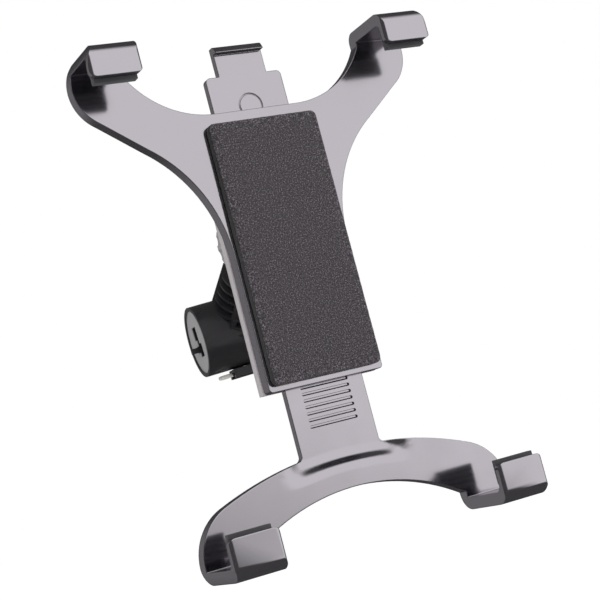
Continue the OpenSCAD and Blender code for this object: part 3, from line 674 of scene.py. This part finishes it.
def foam_sheet(finishes):
    """Dark open-cell foam with a speckled, pebbled face."""
    made, tree, shader, vector = start_material("foam_sheet", {
        "IOR": 1.4,
        "Specular IOR Level": 0.25,
        "Sheen Weight": 0.2,
        "Sheen Roughness": 0.6,
    })
    # The pits of the cells get painted shade, at 0.3 of the foam's colour
    cells = place_group(tree, "Open Cells", vector, {
        "Cell Scale": 1900.0,
        "Colour": rgba(finishes.foam_colour),
        "Pit Shade Colour": rgba(finishes.foam_colour, 0.3),
        "Speck Colour": rgba(finishes.foam_colour, 4.5),
    }, (-500, 0))
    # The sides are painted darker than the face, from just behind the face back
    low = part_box("foam_pad")[0]
    parts = tree.nodes.new("ShaderNodeSeparateXYZ")
    tree.links.new(vector, parts.inputs["Vector"])
    depth = remap(tree, parts.outputs["Y"], low.y + 0.5 * MM, low.y + 1.1 * MM, 0.0, 1.0, (-300, 300))
    colour = mix_colour(tree, depth, cells.outputs["Colour"], rgba(finishes.foam_colour, 0.12), (0, 300))
    tree.links.new(colour, shader.inputs["Base Color"])
    tree.links.new(cells.outputs["Roughness"], shader.inputs["Roughness"])
    add_relief(tree, shader, cells.outputs["Height"], 0.7, 0.25 * MM, 0.0)
    return made


def finish_nodes(names, made):
    """Gives a material to every slot of the named nodes."""
    for name in names:
        mesh = frame["nodes"][name].data
        if not mesh.materials:
            mesh.materials.append(made)
        for i in range(len(mesh.materials)):
            mesh.materials[i] = made


# Help with new pieces

def deselect_all():
    """Leaves nothing selected, so that an operator acts on the new piece alone."""
    for item in list(bpy.context.selected_objects):
        item.select_set(False)


def select_only(made):
    """Leaves one piece selected and active."""
    deselect_all()
    made.select_set(True)
    bpy.context.view_layer.objects.active = made


def name_new(name):
    """The piece that an operator has just added, under its name."""
    made = bpy.context.active_object
    made.name = name
    made.data.name = name
    return made


def add_block(name, low, high):
    """A new block between two corners, with its place in its mesh."""
    deselect_all()
    bpy.ops.mesh.primitive_cube_add(size=1, location=(low + high) / 2)
    made = name_new(name)
    made.scale = high - low
    bpy.ops.object.transform_apply(location=True, rotation=True, scale=True)
    return made


def clear_picks(kind):
    """Leaves no edge or face of the active piece selected."""
    bpy.ops.object.mode_set(mode="EDIT")
    bpy.ops.mesh.select_mode(type=kind)
    bpy.ops.mesh.select_all(action="DESELECT")
    bpy.ops.object.mode_set(mode="OBJECT")


def pick_edges(made, test):
    """Selects in edit mode the edges whose two ends pass the test; call it in object mode."""
    clear_picks("EDGE")
    mesh = made.data
    for edge in mesh.edges:
        edge.select = test(mesh.vertices[edge.vertices[0]].co, mesh.vertices[edge.vertices[1]].co)
    bpy.ops.object.mode_set(mode="EDIT")


def pick_faces(made, test):
    """Selects in edit mode the faces whose centre and normal pass the test; call it in object mode."""
    clear_picks("FACE")
    for face in made.data.polygons:
        face.select = test(face.center, face.normal)
    bpy.ops.object.mode_set(mode="EDIT")


def round_edges(made, test, radius, segments):
    """Rounds the edges whose two ends pass the test."""
    pick_edges(made, test)
    bpy.ops.mesh.bevel(offset=radius, segments=segments, affect="EDGES")
    bpy.ops.object.mode_set(mode="OBJECT")


def extrude(*move):
    """Draws the faces picked in edit mode out by a move."""
    bpy.ops.mesh.extrude_region_move(TRANSFORM_OT_translate={"value": move})


def apply_modifier(made, kind, **values):
    """Adds a modifier, sets its values and applies it."""
    modifier = made.modifiers.new(kind.title(), kind)
    for label, value in values.items():
        setattr(modifier, label, value)
    select_only(made)
    bpy.ops.object.modifier_apply(modifier=modifier.name)


def smooth(made, angle=35):
    """Shades a piece smooth, with edges over the angle kept sharp."""
    select_only(made)
    bpy.ops.object.shade_smooth_by_angle(angle=math.radians(angle))


def set_along(made, place, axis, turn):
    """Moves a piece drawn up Z at the origin to its place and axis, and keeps the place in its mesh."""
    select_only(made)
    tilt = axis.to_track_quat("Z", "X") @ Quaternion((0, 0, 1), turn)
    made.rotation_euler = tilt.to_euler()
    made.location = place
    bpy.ops.object.transform_apply(location=True, rotation=True, scale=True)


def own_copy(made, name):
    """A copy of a piece with its own mesh."""
    copied = made.copy()
    copied.data = made.data.copy()
    copied.name = name
    copied.data.name = name
    bpy.context.scene.collection.objects.link(copied)
    return copied


def solid_copy(node, name):
    """A new piece from a node's mesh, with its points merged."""
    made = bpy.data.objects.new(name, frame["nodes"][node].data.copy())
    made.data.name = name
    bpy.context.scene.collection.objects.link(made)
    select_only(made)
    bpy.ops.object.mode_set(mode="EDIT")
    bpy.ops.mesh.select_all(action="SELECT")
    bpy.ops.mesh.remove_doubles(threshold=0.002 * MM)
    bpy.ops.mesh.customdata_custom_splitnormals_clear()
    bpy.ops.object.mode_set(mode="OBJECT")
    return made


def cut_strips(made, test, axis, low, high, step):
    """Cuts the faces that pass the test at even steps along an axis."""
    for i in range(round((high - low) / step) + 1):
        pick_faces(made, test)
        bpy.ops.mesh.bisect(plane_co=axis * (low + step * i), plane_no=axis)
        bpy.ops.object.mode_set(mode="OBJECT")


def blend(share):
    """Zero up to 0, one from 1, and smooth between them."""
    share = max(0.0, min(1.0, share))
    return share * share * (3 - 2 * share)


def dress(made, material, body, slot, *nodes):
    """Finishes a new piece: its material, the body it moves with and the nodes it stands for."""
    made.data.materials.clear()
    made.data.materials.append(material)
    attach(made, body)
    if nodes:
        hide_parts(*nodes)


def shared_material(name, maker, *values):
    """The material of that name, made the first time."""
    return bpy.data.materials.get(name) or maker(*values)


# Operators

class FinishBody(bpy.types.Operator):
    """Finish the front shell and the rear cover"""

    bl_idname = "tablet_mount.finish_body"
    bl_label = "Finish Body"

    def execute(self, context):
        finishes = context.scene.mount_finishes
        sizes = context.scene.mount_sizes
        finish_nodes(GLOSS_NODES, gloss_black(finishes, sizes))
        finish_nodes(COVER_NODES, cover_plastic(finishes, sizes))
        return {"FINISHED"}


class FinishJoint(bpy.types.Operator):
    """Finish the collar, the lock nut, the neck, the drum and what is in them"""

    bl_idname = "tablet_mount.finish_joint"
    bl_label = "Finish Joint and Drum"

    def execute(self, context):
        finishes = context.scene.mount_finishes
        sizes = context.scene.mount_sizes
        finish_nodes(SATIN_NODES, satin_black(finishes, sizes))
        finish_nodes(CORE_NODES, core_plastic(finishes, sizes))
        finish_nodes(PALE_NODES, pale_plastic(finishes, sizes))
        finish_nodes(NYLON_NODES, natural_nylon(finishes, sizes))
        finish_nodes(STEEL_NODES, shared_material("plated_steel", plated_steel, finishes))
        return {"FINISHED"}


class ShapeLowerBracket(bpy.types.Operator):
    """Give the lower bracket the soft hollow at its tongue's foot and the slopes of its grooves"""

    bl_idname = "tablet_mount.shape_lower_bracket"
    bl_label = "Shape Lower Bracket"

    def execute(self, context):
        finishes = context.scene.mount_finishes
        sizes = context.scene.mount_sizes
        made = solid_copy("lower_bracket", "lower_bracket_moulding")
        reach = 0.05 * MM
        low = ARCH_Z + ARCH_R - HOLLOW_ROOM
        high = ARCH_Z + ARCH_R + HOLLOW_RISE

        def at_front(place, normal):
            return normal.y < -0.3 and ARCH_FRONT - reach < place.y < TONGUE_FRONT + reach

        cut_strips(made, at_front, Vector((0, 0, 1)), low, high, STRIP_H)
        cut_strips(made, at_front, Vector((1, 0, 0)), -HOLLOW_X, HOLLOW_X, STRIP_W)
        mesh = made.data
        front = {i for face in mesh.polygons if at_front(face.center, face.normal) for i in face.vertices}
        for point in mesh.vertices:
            self.slope_groove(point.co)
        for i in front:
            point = mesh.vertices[i].co
            if abs(point.x) < HOLLOW_X + reach and low - reach < point.z < high + 3 * MM:
                point.y = self.face_depth(point)
        smooth(made, 30)
        dress(made, shared_material("gloss_black_moulding", gloss_black, finishes, sizes),
              "bracket", "gloss_black", "lower_bracket")
        return {"FINISHED"}

    def slope_groove(self, point):
        """Draws the floor's lower edge of a groove up, so that the groove's lower side is a slope."""
        step = round((GROOVE_TOP - point.z) / GROOVE_PITCH)
        centre = GROOVE_TOP - GROOVE_PITCH * step
        at_floor = abs(point.y - TONGUE_FRONT - GROOVE_D) < 0.1 * MM
        if at_floor and step >= 0 and abs(point.x) < GROOVE_X and point.z < centre:
            point.z = centre - GROOVE_SLOPE * (centre - point.z)

    def face_depth(self, point):
        """Depth of the bracket's face: the tongue's above, the arch's below, and the hollow's between."""
        below = ARCH_R - Vector((point.x, point.z - ARCH_Z)).length
        side = abs(point.x)
        wide = 1 - blend(below / HOLLOW_H)
        narrow = 1 - blend((below - STEP_MIDDLE) / STEP_H + 0.5)
        share = STEP_SHARE * (1 - blend(side / STEP_X))
        room = 1 - blend((side - TONGUE_X) / (HOLLOW_X - TONGUE_X))
        deep = wide * (1 - share) + narrow * share
        return ARCH_FRONT + (TONGUE_FRONT - ARCH_FRONT) * deep * room


class ShapeCentreHook(bpy.types.Operator):
    """Give the centre hook its short, round lip"""

    bl_idname = "tablet_mount.shape_centre_hook"
    bl_label = "Shape Centre Hook"

    def execute(self, context):
        finishes = context.scene.mount_finishes
        sizes = context.scene.mount_sizes
        low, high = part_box("centre_hook")
        face = high.y - TAB_T
        lean = LIP_FLAT * math.tan(LIP_LEAN)
        bulge = (LIP_H - LIP_FLAT) / (1 - math.sin(LIP_LEAN))
        made = solid_copy("centre_hook", "centre_hook_moulding")
        reach = 0.01 * MM
        for point in made.data.vertices:
            back = point.co.y - low.y - LIP_CORNER
            up = point.co.z - high.z + LIP_CORNER
            if point.co.y > face - reach:
                continue
            if back < reach and up > -reach:
                turn = LIP_LEAN + math.atan2(up, -back) * (1 - LIP_LEAN / math.radians(90))
                point.co.y = face - LIP_OUT + lean + bulge * (math.cos(LIP_LEAN) - math.cos(turn))
                point.co.z = high.z - bulge * (1 - math.sin(turn))
            else:
                point.co.y = face - LIP_OUT
        smooth(made, 35)
        dress(made, shared_material("gloss_black_moulding", gloss_black, finishes, sizes),
              "top_hook", "gloss_black", "centre_hook")
        # The lip's underside is left as it comes from the tool
        made.data.materials.append(shared_material("satin_black_moulding", satin_black, finishes, sizes))
        for part in made.data.polygons:
            behind_front = low.y < part.center.y < face
            if part.normal.z < -0.9 and behind_front and part.center.z > high.z - 1.5 * LIP_H:
                part.material_index = 1
        return {"FINISHED"}


class AddFoamPad(bpy.types.Operator):
    """Cut the foam pad from a pebbled sheet with soft edges"""

    bl_idname = "tablet_mount.add_foam_pad"
    bl_label = "Add Foam Pad"

    def execute(self, context):
        sizes = context.scene.mount_sizes
        low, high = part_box("foam_pad")
        pad = add_block("foam_pad_sheet", low, high)
        half_w = (high.x - low.x) / 2
        half_h = (high.z - low.z) / 2
        reach = 0.1 * MM
        round_edges(pad, lambda a, b: abs(a.y - b.y) > reach, sizes.pad_corner, 6)
        round_edges(pad, lambda a, b: max(a.y, b.y) < low.y + reach, PAD_EDGE, 3)
        apply_modifier(pad, "REMESH", mode="VOXEL", voxel_size=PAD_STEP)
        pebbles = bpy.data.textures.new("foam_pebbles", "CLOUDS")
        pebbles.noise_scale = PEBBLE_SIZE
        pebbles.noise_depth = 1
        apply_modifier(pad, "DISPLACE", texture=pebbles, texture_coords="LOCAL",
                       strength=sizes.foam_relief, mid_level=0.5)
        # The face falls away a little towards its edges, and the back stays flat on the shell
        for point in pad.data.vertices:
            u = min(1.0, abs(point.co.x) / half_w)
            v = min(1.0, abs(point.co.z) / half_h)
            share = (high.y - point.co.y) / (high.y - low.y)
            point.co.y += sizes.pad_crown * max(u ** 10, v ** 20) * max(0.0, share)
            point.co.y = min(point.co.y, high.y)
        smooth(pad, 60)
        dress(pad, foam_sheet(context.scene.mount_finishes), "cradle", "foam", "foam_pad")
        return {"FINISHED"}


class AddHookLiners(bpy.types.Operator):
    """Fit the ribbed rubber liners behind the four lips"""

    bl_idname = "tablet_mount.add_hook_liners"
    bl_label = "Add Hook Liners"

    def execute(self, context):
        sizes = context.scene.mount_sizes
        rubber = liner_rubber(context.scene.mount_finishes)
        for node, body in LINER_BODIES.items():
            low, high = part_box(node)
            liner = add_block(node + "_rubber", low, high)
            self.cut_grooves(liner, low, high)
            apply_modifier(liner, "BEVEL", width=sizes.liner_round, segments=3,
                           limit_method="ANGLE", angle_limit=math.radians(40))
            smooth(liner, 40)
            dress(liner, rubber, body, "liner", node)
        return {"FINISHED"}

    def cut_grooves(self, liner, low, high):
        """Three shallow grooves across the face that bears on the tablet."""
        grooves = 3
        width = 1.2 * MM
        depth = 0.6 * MM
        step = (high.z - low.z) / (grooves + 1)
        for i in range(1, grooves + 1):
            for side in (-0.5, 0.5):
                bpy.ops.object.mode_set(mode="EDIT")
                bpy.ops.mesh.select_all(action="SELECT")
                bpy.ops.mesh.bisect(
                    plane_co=(0, 0, low.z + step * i + side * width),
                    plane_no=(0, 0, 1),
                )
                bpy.ops.object.mode_set(mode="OBJECT")
        centres = [low.z + step * i for i in range(1, grooves + 1)]
        pick_faces(liner, lambda c, n: n.y > 0.9 and min(abs(c.z - z) for z in centres) < width / 4)
        extrude(0, -depth, 0)
        bpy.ops.object.mode_set(mode="OBJECT")


class AddCollarThread(bpy.types.Operator):
    """Cut the thread that shows between the rear cover and the lock nut"""

    bl_idname = "tablet_mount.add_collar_thread"
    bl_label = "Add Collar Thread"

    def execute(self, context):
        sizes = context.scene.mount_sizes
        pitch = sizes.thread_pitch
        cover_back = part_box("rear_cover")[1].y
        nut_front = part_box("lock_nut")[0].y
        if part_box("swivel_collar")[1].y < nut_front:
            raise RuntimeError("The collar ends before the lock nut")
        turns = (nut_front - cover_back - 2 * THREAD_GAP - pitch) / pitch
        start = cover_back + THREAD_GAP
        deselect_all()
        bpy.ops.mesh.primitive_circle_add(vertices=4, radius=pitch / 2, location=(0, 0, JOINT_AXIS_Z))
        thread = name_new("collar_thread")
        # The circle's four corners become the thread's section, which stands on the collar
        section = ((COLLAR_R - THREAD_FOOT, 0.3 * pitch), (COLLAR_R, 0.12 * pitch),
                   (COLLAR_R + THREAD_H, 0.45 * pitch), (COLLAR_R, 0.78 * pitch))
        for point, (out, along) in zip(thread.data.vertices, section):
            point.co = (out, start + along, 0)
        steps = round(72 * turns)
        apply_modifier(thread, "SCREW", axis="Y", angle=math.radians(360) * turns, steps=steps,
                       render_steps=steps, screw_offset=pitch * turns)
        bpy.ops.object.transform_apply(location=True, rotation=True, scale=True)
        clear_picks("EDGE")
        bpy.ops.object.mode_set(mode="EDIT")
        bpy.ops.mesh.select_non_manifold()
        bpy.ops.mesh.fill_holes(sides=4)
        bpy.ops.mesh.select_all(action="SELECT")
        bpy.ops.mesh.normals_make_consistent(inside=False)
        bpy.ops.object.mode_set(mode="OBJECT")
        smooth(thread, 30)
        satin = shared_material("satin_black_moulding", satin_black, context.scene.mount_finishes, sizes)
        dress(thread, satin, "socket", "satin_black")
        return {"FINISHED"}


class AddFasteners(bpy.types.Operator):
    """Fit the cross-recess screws of the cover and the drum, the lever's rivet and its pull ring"""

    bl_idname = "tablet_mount.add_fasteners"
    bl_label = "Add Fasteners"

    def execute(self, context):
        finishes = context.scene.mount_finishes
        segments = context.scene.mount_sizes.screw_segments
        steel = shared_material("plated_steel", plated_steel, finishes)
        along_drum = joint_axis("latch_press")
        behind_drum = -joint_axis("lock_lever_pull")
        self.fit_screws("cover_screws", "cradle", Vector((1, 0, 0)), Vector((0, 1, 0)), segments, steel)
        self.fit_screws("core_screws", "headrest_clamp", along_drum, behind_drum, segments, steel)
        self.fit_rivet(along_drum, behind_drum, segments, steel)
        nylon = shared_material("natural_nylon", natural_nylon, finishes, context.scene.mount_sizes)
        self.fit_pull_ring(along_drum, behind_drum, segments, nylon)
        return {"FINISHED"}

    def fit_screws(self, node, body, across, axis, segments, steel):
        """Screws at the corners of a node's box in its own directions, with their heads at its far end."""
        up = across.cross(axis)
        start, end = span(node, axis)
        left, right = span(node, across)
        bottom, top = span(node, up)
        rows = [bottom + SCREW_HEAD_R, top - SCREW_HEAD_R]
        if rows[1] - rows[0] < SCREW_HEAD_R:
            rows = rows[:1]
        places = [(u, v) for u in (left + SCREW_HEAD_R, right - SCREW_HEAD_R) for v in rows]
        first = self.add_screw(node + "_cross_1", end - start, segments)
        screws = [first]
        for i in range(1, len(places)):
            screws.append(own_copy(first, "%s_cross_%d" % (node, i + 1)))
        turn_step = math.radians(37)
        for i, (screw, (u, v)) in enumerate(zip(screws, places)):
            set_along(screw, across * u + axis * end + up * v, axis, turn_step * i)
            dress(screw, steel, body, "steel", node)

    def add_screw(self, name, length, segments):
        """A screw down from the origin: a domed pan head with a tapered cross recess on its shank."""
        deselect_all()
        bpy.ops.mesh.primitive_cylinder_add(
            vertices=segments, radius=SCREW_HEAD_R, depth=SCREW_HEAD_H,
            location=(0, 0, -SCREW_HEAD_H / 2))
        screw = name_new(name)
        bpy.ops.object.transform_apply(location=True, rotation=True, scale=True)
        pick_faces(screw, lambda c, n: n.z < -0.9)
        bpy.ops.mesh.inset(thickness=SCREW_HEAD_R - SCREW_R)
        extrude(0, 0, SCREW_HEAD_H - length)
        bpy.ops.object.mode_set(mode="OBJECT")
        reach = 0.01 * MM
        round_edges(screw, lambda a, b: min(a.z, b.z) > -reach, 0.7 * SCREW_HEAD_H, 5)
        blade_l = 0.65 * SCREW_HEAD_R
        blade_w = 0.16 * SCREW_HEAD_R
        depth = 0.65 * SCREW_HEAD_H
        for half in ((blade_l, blade_w), (blade_w, blade_l)):
            low = Vector((-half[0], -half[1], -depth))
            high = Vector((half[0], half[1], SCREW_HEAD_H))
            blade = add_block("cross_blade", low, high)
            pick_faces(blade, lambda c, n: n.z < -0.9)
            bpy.ops.transform.resize(value=(0.6, 0.6, 1))
            bpy.ops.object.mode_set(mode="OBJECT")
            apply_modifier(screw, "BOOLEAN", operation="DIFFERENCE", solver="EXACT", object=blade)
            bpy.data.objects.remove(blade)
        smooth(screw, 35)
        return screw

    def fit_rivet(self, across, axis, segments, steel):
        """The lever's pin as a rivet with a low domed head at each end."""
        up = across.cross(axis)
        start, end = span("lever_pin", axis)
        middle_u = sum(span("lever_pin", across)) / 2
        middle_v = sum(span("lever_pin", up)) / 2
        deselect_all()
        bpy.ops.mesh.primitive_cylinder_add(
            vertices=segments, radius=RIVET_R, depth=end - start, location=(0, 0, (start - end) / 2))
        rivet = name_new("lever_rivet")
        bpy.ops.object.transform_apply(location=True, rotation=True, scale=True)
        for side in (-1, 1):
            level = 0 if side > 0 else start - end
            pick_faces(rivet, lambda c, n: n.z * side > 0.9)
            extrude(0, 0, side * 0.01 * MM)
            share = RIVET_HEAD_R / RIVET_R
            bpy.ops.transform.resize(value=(share, share, 1))
            extrude(0, 0, side * RIVET_HEAD_H)
            bpy.ops.object.mode_set(mode="OBJECT")
            round_edges(rivet, lambda a, b: min(a.z * side, b.z * side) > side * level + RIVET_HEAD_H / 2,
                        0.8 * RIVET_HEAD_H, 4)
        smooth(rivet, 35)
        set_along(rivet, across * middle_u + axis * end + up * middle_v, axis, 0.0)
        dress(rivet, steel, "headrest_clamp", "steel", "lever_pin")

    def fit_pull_ring(self, across, axis, segments, nylon):
        """The pale ring over the loop at the lever's free end."""
        up = across.cross(axis)
        left = span("lock_lever", across)[0]
        bottom = span("lock_lever", up)[0]
        middle = sum(span("lock_lever", axis)) / 2
        deselect_all()
        bpy.ops.mesh.primitive_torus_add(
            major_segments=segments, minor_segments=12,
            major_radius=LOOP_R - LOOP_WIRE_R / 2, minor_radius=LOOP_WIRE_R)
        ring = name_new("pull_ring")
        smooth(ring, 60)
        place = across * (left + LOOP_R) + axis * middle + up * (bottom + LOOP_HEIGHT)
        set_along(ring, place, up, 0.0)
        dress(ring, nylon, "lever", "natural_nylon")


class AddStudio(bpy.types.Operator):
    """Lay the pale floor, light the mount softly and set the camera"""

    bl_idname = "tablet_mount.add_studio"
    bl_label = "Add Studio"

    def execute(self, context):
        studio = context.scene.mount_studio
        self.light_world(context.scene, studio)
        if studio.show_floor:
            self.lay_floor(studio)
        self.add_lamp("key_lamp", (-0.7, -1.0, 0.75), 0.8, studio.key)
        self.add_lamp("side_lamp", (1.0, -0.6, 0.5), 0.6, studio.key * 0.4)
        self.add_lamp("back_lamp", (0.2, 1.1, 0.7), 0.8, studio.key * 0.5)
        self.set_camera(context.scene, studio)
        context.scene.view_settings.view_transform = "Standard"
        return {"FINISHED"}

    def light_world(self, scene, studio):
        """White surround: full strength to the eye, less on matt surfaces, soft boxes in reflections."""
        world = bpy.data.worlds.new("white_studio")
        scene.world = world
        world.use_nodes = True
        tree = world.node_tree
        tree.nodes.clear()
        out = tree.nodes.new("ShaderNodeOutputWorld")
        path = tree.nodes.new("ShaderNodeLightPath")
        clear = maths(tree, "MAXIMUM", path.outputs["Is Camera Ray"],
                      path.outputs["Is Transmission Ray"], (-400, 0))
        soft = self.add_background(tree, studio.fill)
        shown = self.add_background(tree, 1.0)
        boxes = self.add_background(tree, self.box_light(tree, studio))
        mirrored = self.choose(tree, path.outputs["Is Glossy Ray"], soft, boxes)
        tree.links.new(self.choose(tree, clear, mirrored, shown), out.inputs["Surface"])

    def add_background(self, tree, strength):
        """A white background of a strength that is a number or a socket."""
        node = tree.nodes.new("ShaderNodeBackground")
        node.inputs["Color"].default_value = (1, 1, 1, 1)
        if isinstance(strength, (int, float)):
            node.inputs["Strength"].default_value = strength
        else:
            tree.links.new(strength, node.inputs["Strength"])
        return node.outputs["Background"]

    def choose(self, tree, factor, first, second):
        """Mixes two shaders by a factor."""
        node = tree.nodes.new("ShaderNodeMixShader")
        tree.links.new(factor, node.inputs[0])
        tree.links.new(first, node.inputs[1])
        tree.links.new(second, node.inputs[2])
        return node.outputs["Shader"]

    def box_light(self, tree, studio):
        """Light by direction in reflections: a wide soft box in front, a dim one behind, and dark walls."""
        coords = tree.nodes.new("ShaderNodeTexCoord").outputs["Generated"]
        front, fade, back = (dot_product(tree, coords, Vector(direction).normalized())
                             for direction in (studio.front_box, studio.front_fade, studio.back_box))
        front = remap(tree, front, *FRONT_EDGES, 0.0, 1.0, (-600, 0))
        fade = remap(tree, fade, *FADE_EDGES, 0.0, 1.0, (-600, -200))
        front = maths(tree, "MULTIPLY", front, fade, (-400, -100))
        back = remap(tree, back, *BACK_EDGES, studio.wall_light, studio.back_light, (-600, -400))
        return maths(tree, "MAXIMUM", front, back, (-200, 100))

    def lay_floor(self, studio):
        """A wide pale floor below the mount."""
        deselect_all()
        level = cad_low.z - studio.floor_drop
        bpy.ops.mesh.primitive_plane_add(size=20, location=(0, 0, level))
        floor = bpy.context.active_object
        floor.name = "studio_floor"
        bpy.ops.object.transform_apply(location=True, rotation=True, scale=True)
        made = bpy.data.materials.new("pale_floor")
        made.use_nodes = True
        tree = made.node_tree
        tree.nodes.clear()
        out = tree.nodes.new("ShaderNodeOutputMaterial")
        shader = tree.nodes.new("ShaderNodeBsdfDiffuse")
        shader.inputs["Color"].default_value = rgba(studio.floor_colour)
        # A little light of its own, to the eye alone, lets the floor run into the white background
        path = tree.nodes.new("ShaderNodeLightPath")
        glow = tree.nodes.new("ShaderNodeEmission")
        tree.links.new(maths(tree, "MULTIPLY", path.outputs["Is Camera Ray"], studio.floor_glow, (-200, -200)),
                       glow.inputs["Strength"])
        both = tree.nodes.new("ShaderNodeAddShader")
        tree.links.new(shader.outputs[0], both.inputs[0])
        tree.links.new(glow.outputs[0], both.inputs[1])
        tree.links.new(both.outputs[0], out.inputs["Surface"])
        floor.data.materials.append(made)
        floor.visible_glossy = False

    def add_lamp(self, name, place, size, power):
        """A large soft square lamp that faces the mount; reflections show the soft boxes instead."""
        lamp = bpy.data.lights.new(name, "AREA")
        lamp.shape = "SQUARE"
        lamp.size = size
        lamp.energy = power
        stand = bpy.data.objects.new(name, lamp)
        bpy.context.scene.collection.objects.link(stand)
        stand.location = place
        stand.visible_glossy = False
        stand.rotation_euler = (-Vector(place)).to_track_quat("-Z", "Y").to_euler()

    def set_camera(self, scene, studio):
        """The photograph's view: from the left, a little from below, and rolled."""
        lens = bpy.data.cameras.new("camera")
        lens.sensor_width = SENSOR_W
        lens.lens = studio.lens
        lens.clip_start = 0.01
        stand = bpy.data.objects.new("camera", lens)
        scene.collection.objects.link(stand)
        stand.location = CAMERA_PLACE
        stand.rotation_euler = [math.radians(turn) for turn in CAMERA_TURNS]
        scene.camera = stand


class MountPanel(bpy.types.Panel):
    """Buttons and values of the tablet mount"""

    bl_idname = "VIEW3D_PT_tablet_mount"
    bl_label = "Tablet Mount"
    bl_space_type = "VIEW_3D"
    bl_region_type = "UI"
    bl_category = "Tablet Mount"

    def draw(self, context):
        layout = self.layout
        for step in STEPS:
            layout.operator(step.bl_idname)
        for group in ("mount_sizes", "mount_finishes", "mount_studio"):
            values = getattr(context.scene, group)
            box = layout.box()
            for label in values.__annotations__:
                box.prop(values, label)


STEPS = (
    FinishBody,
    FinishJoint,
    ShapeLowerBracket,
    ShapeCentreHook,
    AddFoamPad,
    AddHookLiners,
    AddCollarThread,
    AddFasteners,
    AddStudio,
)
CLASSES = (MountSizes, MountFinishes, MountStudio) + STEPS + (MountPanel,)


def register():
    for item in CLASSES:
        bpy.utils.register_class(item)
    bpy.types.Scene.mount_sizes = PointerProperty(type=MountSizes)
    bpy.types.Scene.mount_finishes = PointerProperty(type=MountFinishes)
    bpy.types.Scene.mount_studio = PointerProperty(type=MountStudio)


def unregister():
    del bpy.types.Scene.mount_studio
    del bpy.types.Scene.mount_finishes
    del bpy.types.Scene.mount_sizes
    for item in reversed(CLASSES):
        bpy.utils.unregister_class(item)


def main():
    register()
    bpy.ops.tablet_mount.finish_body()
    bpy.ops.tablet_mount.finish_joint()
    bpy.ops.tablet_mount.shape_lower_bracket()
    bpy.ops.tablet_mount.shape_centre_hook()
    bpy.ops.tablet_mount.add_foam_pad()
    bpy.ops.tablet_mount.add_hook_liners()
    bpy.ops.tablet_mount.add_collar_thread()
    bpy.ops.tablet_mount.add_fasteners()
    bpy.ops.tablet_mount.add_studio()


if __name__ == "__main__":
    main()
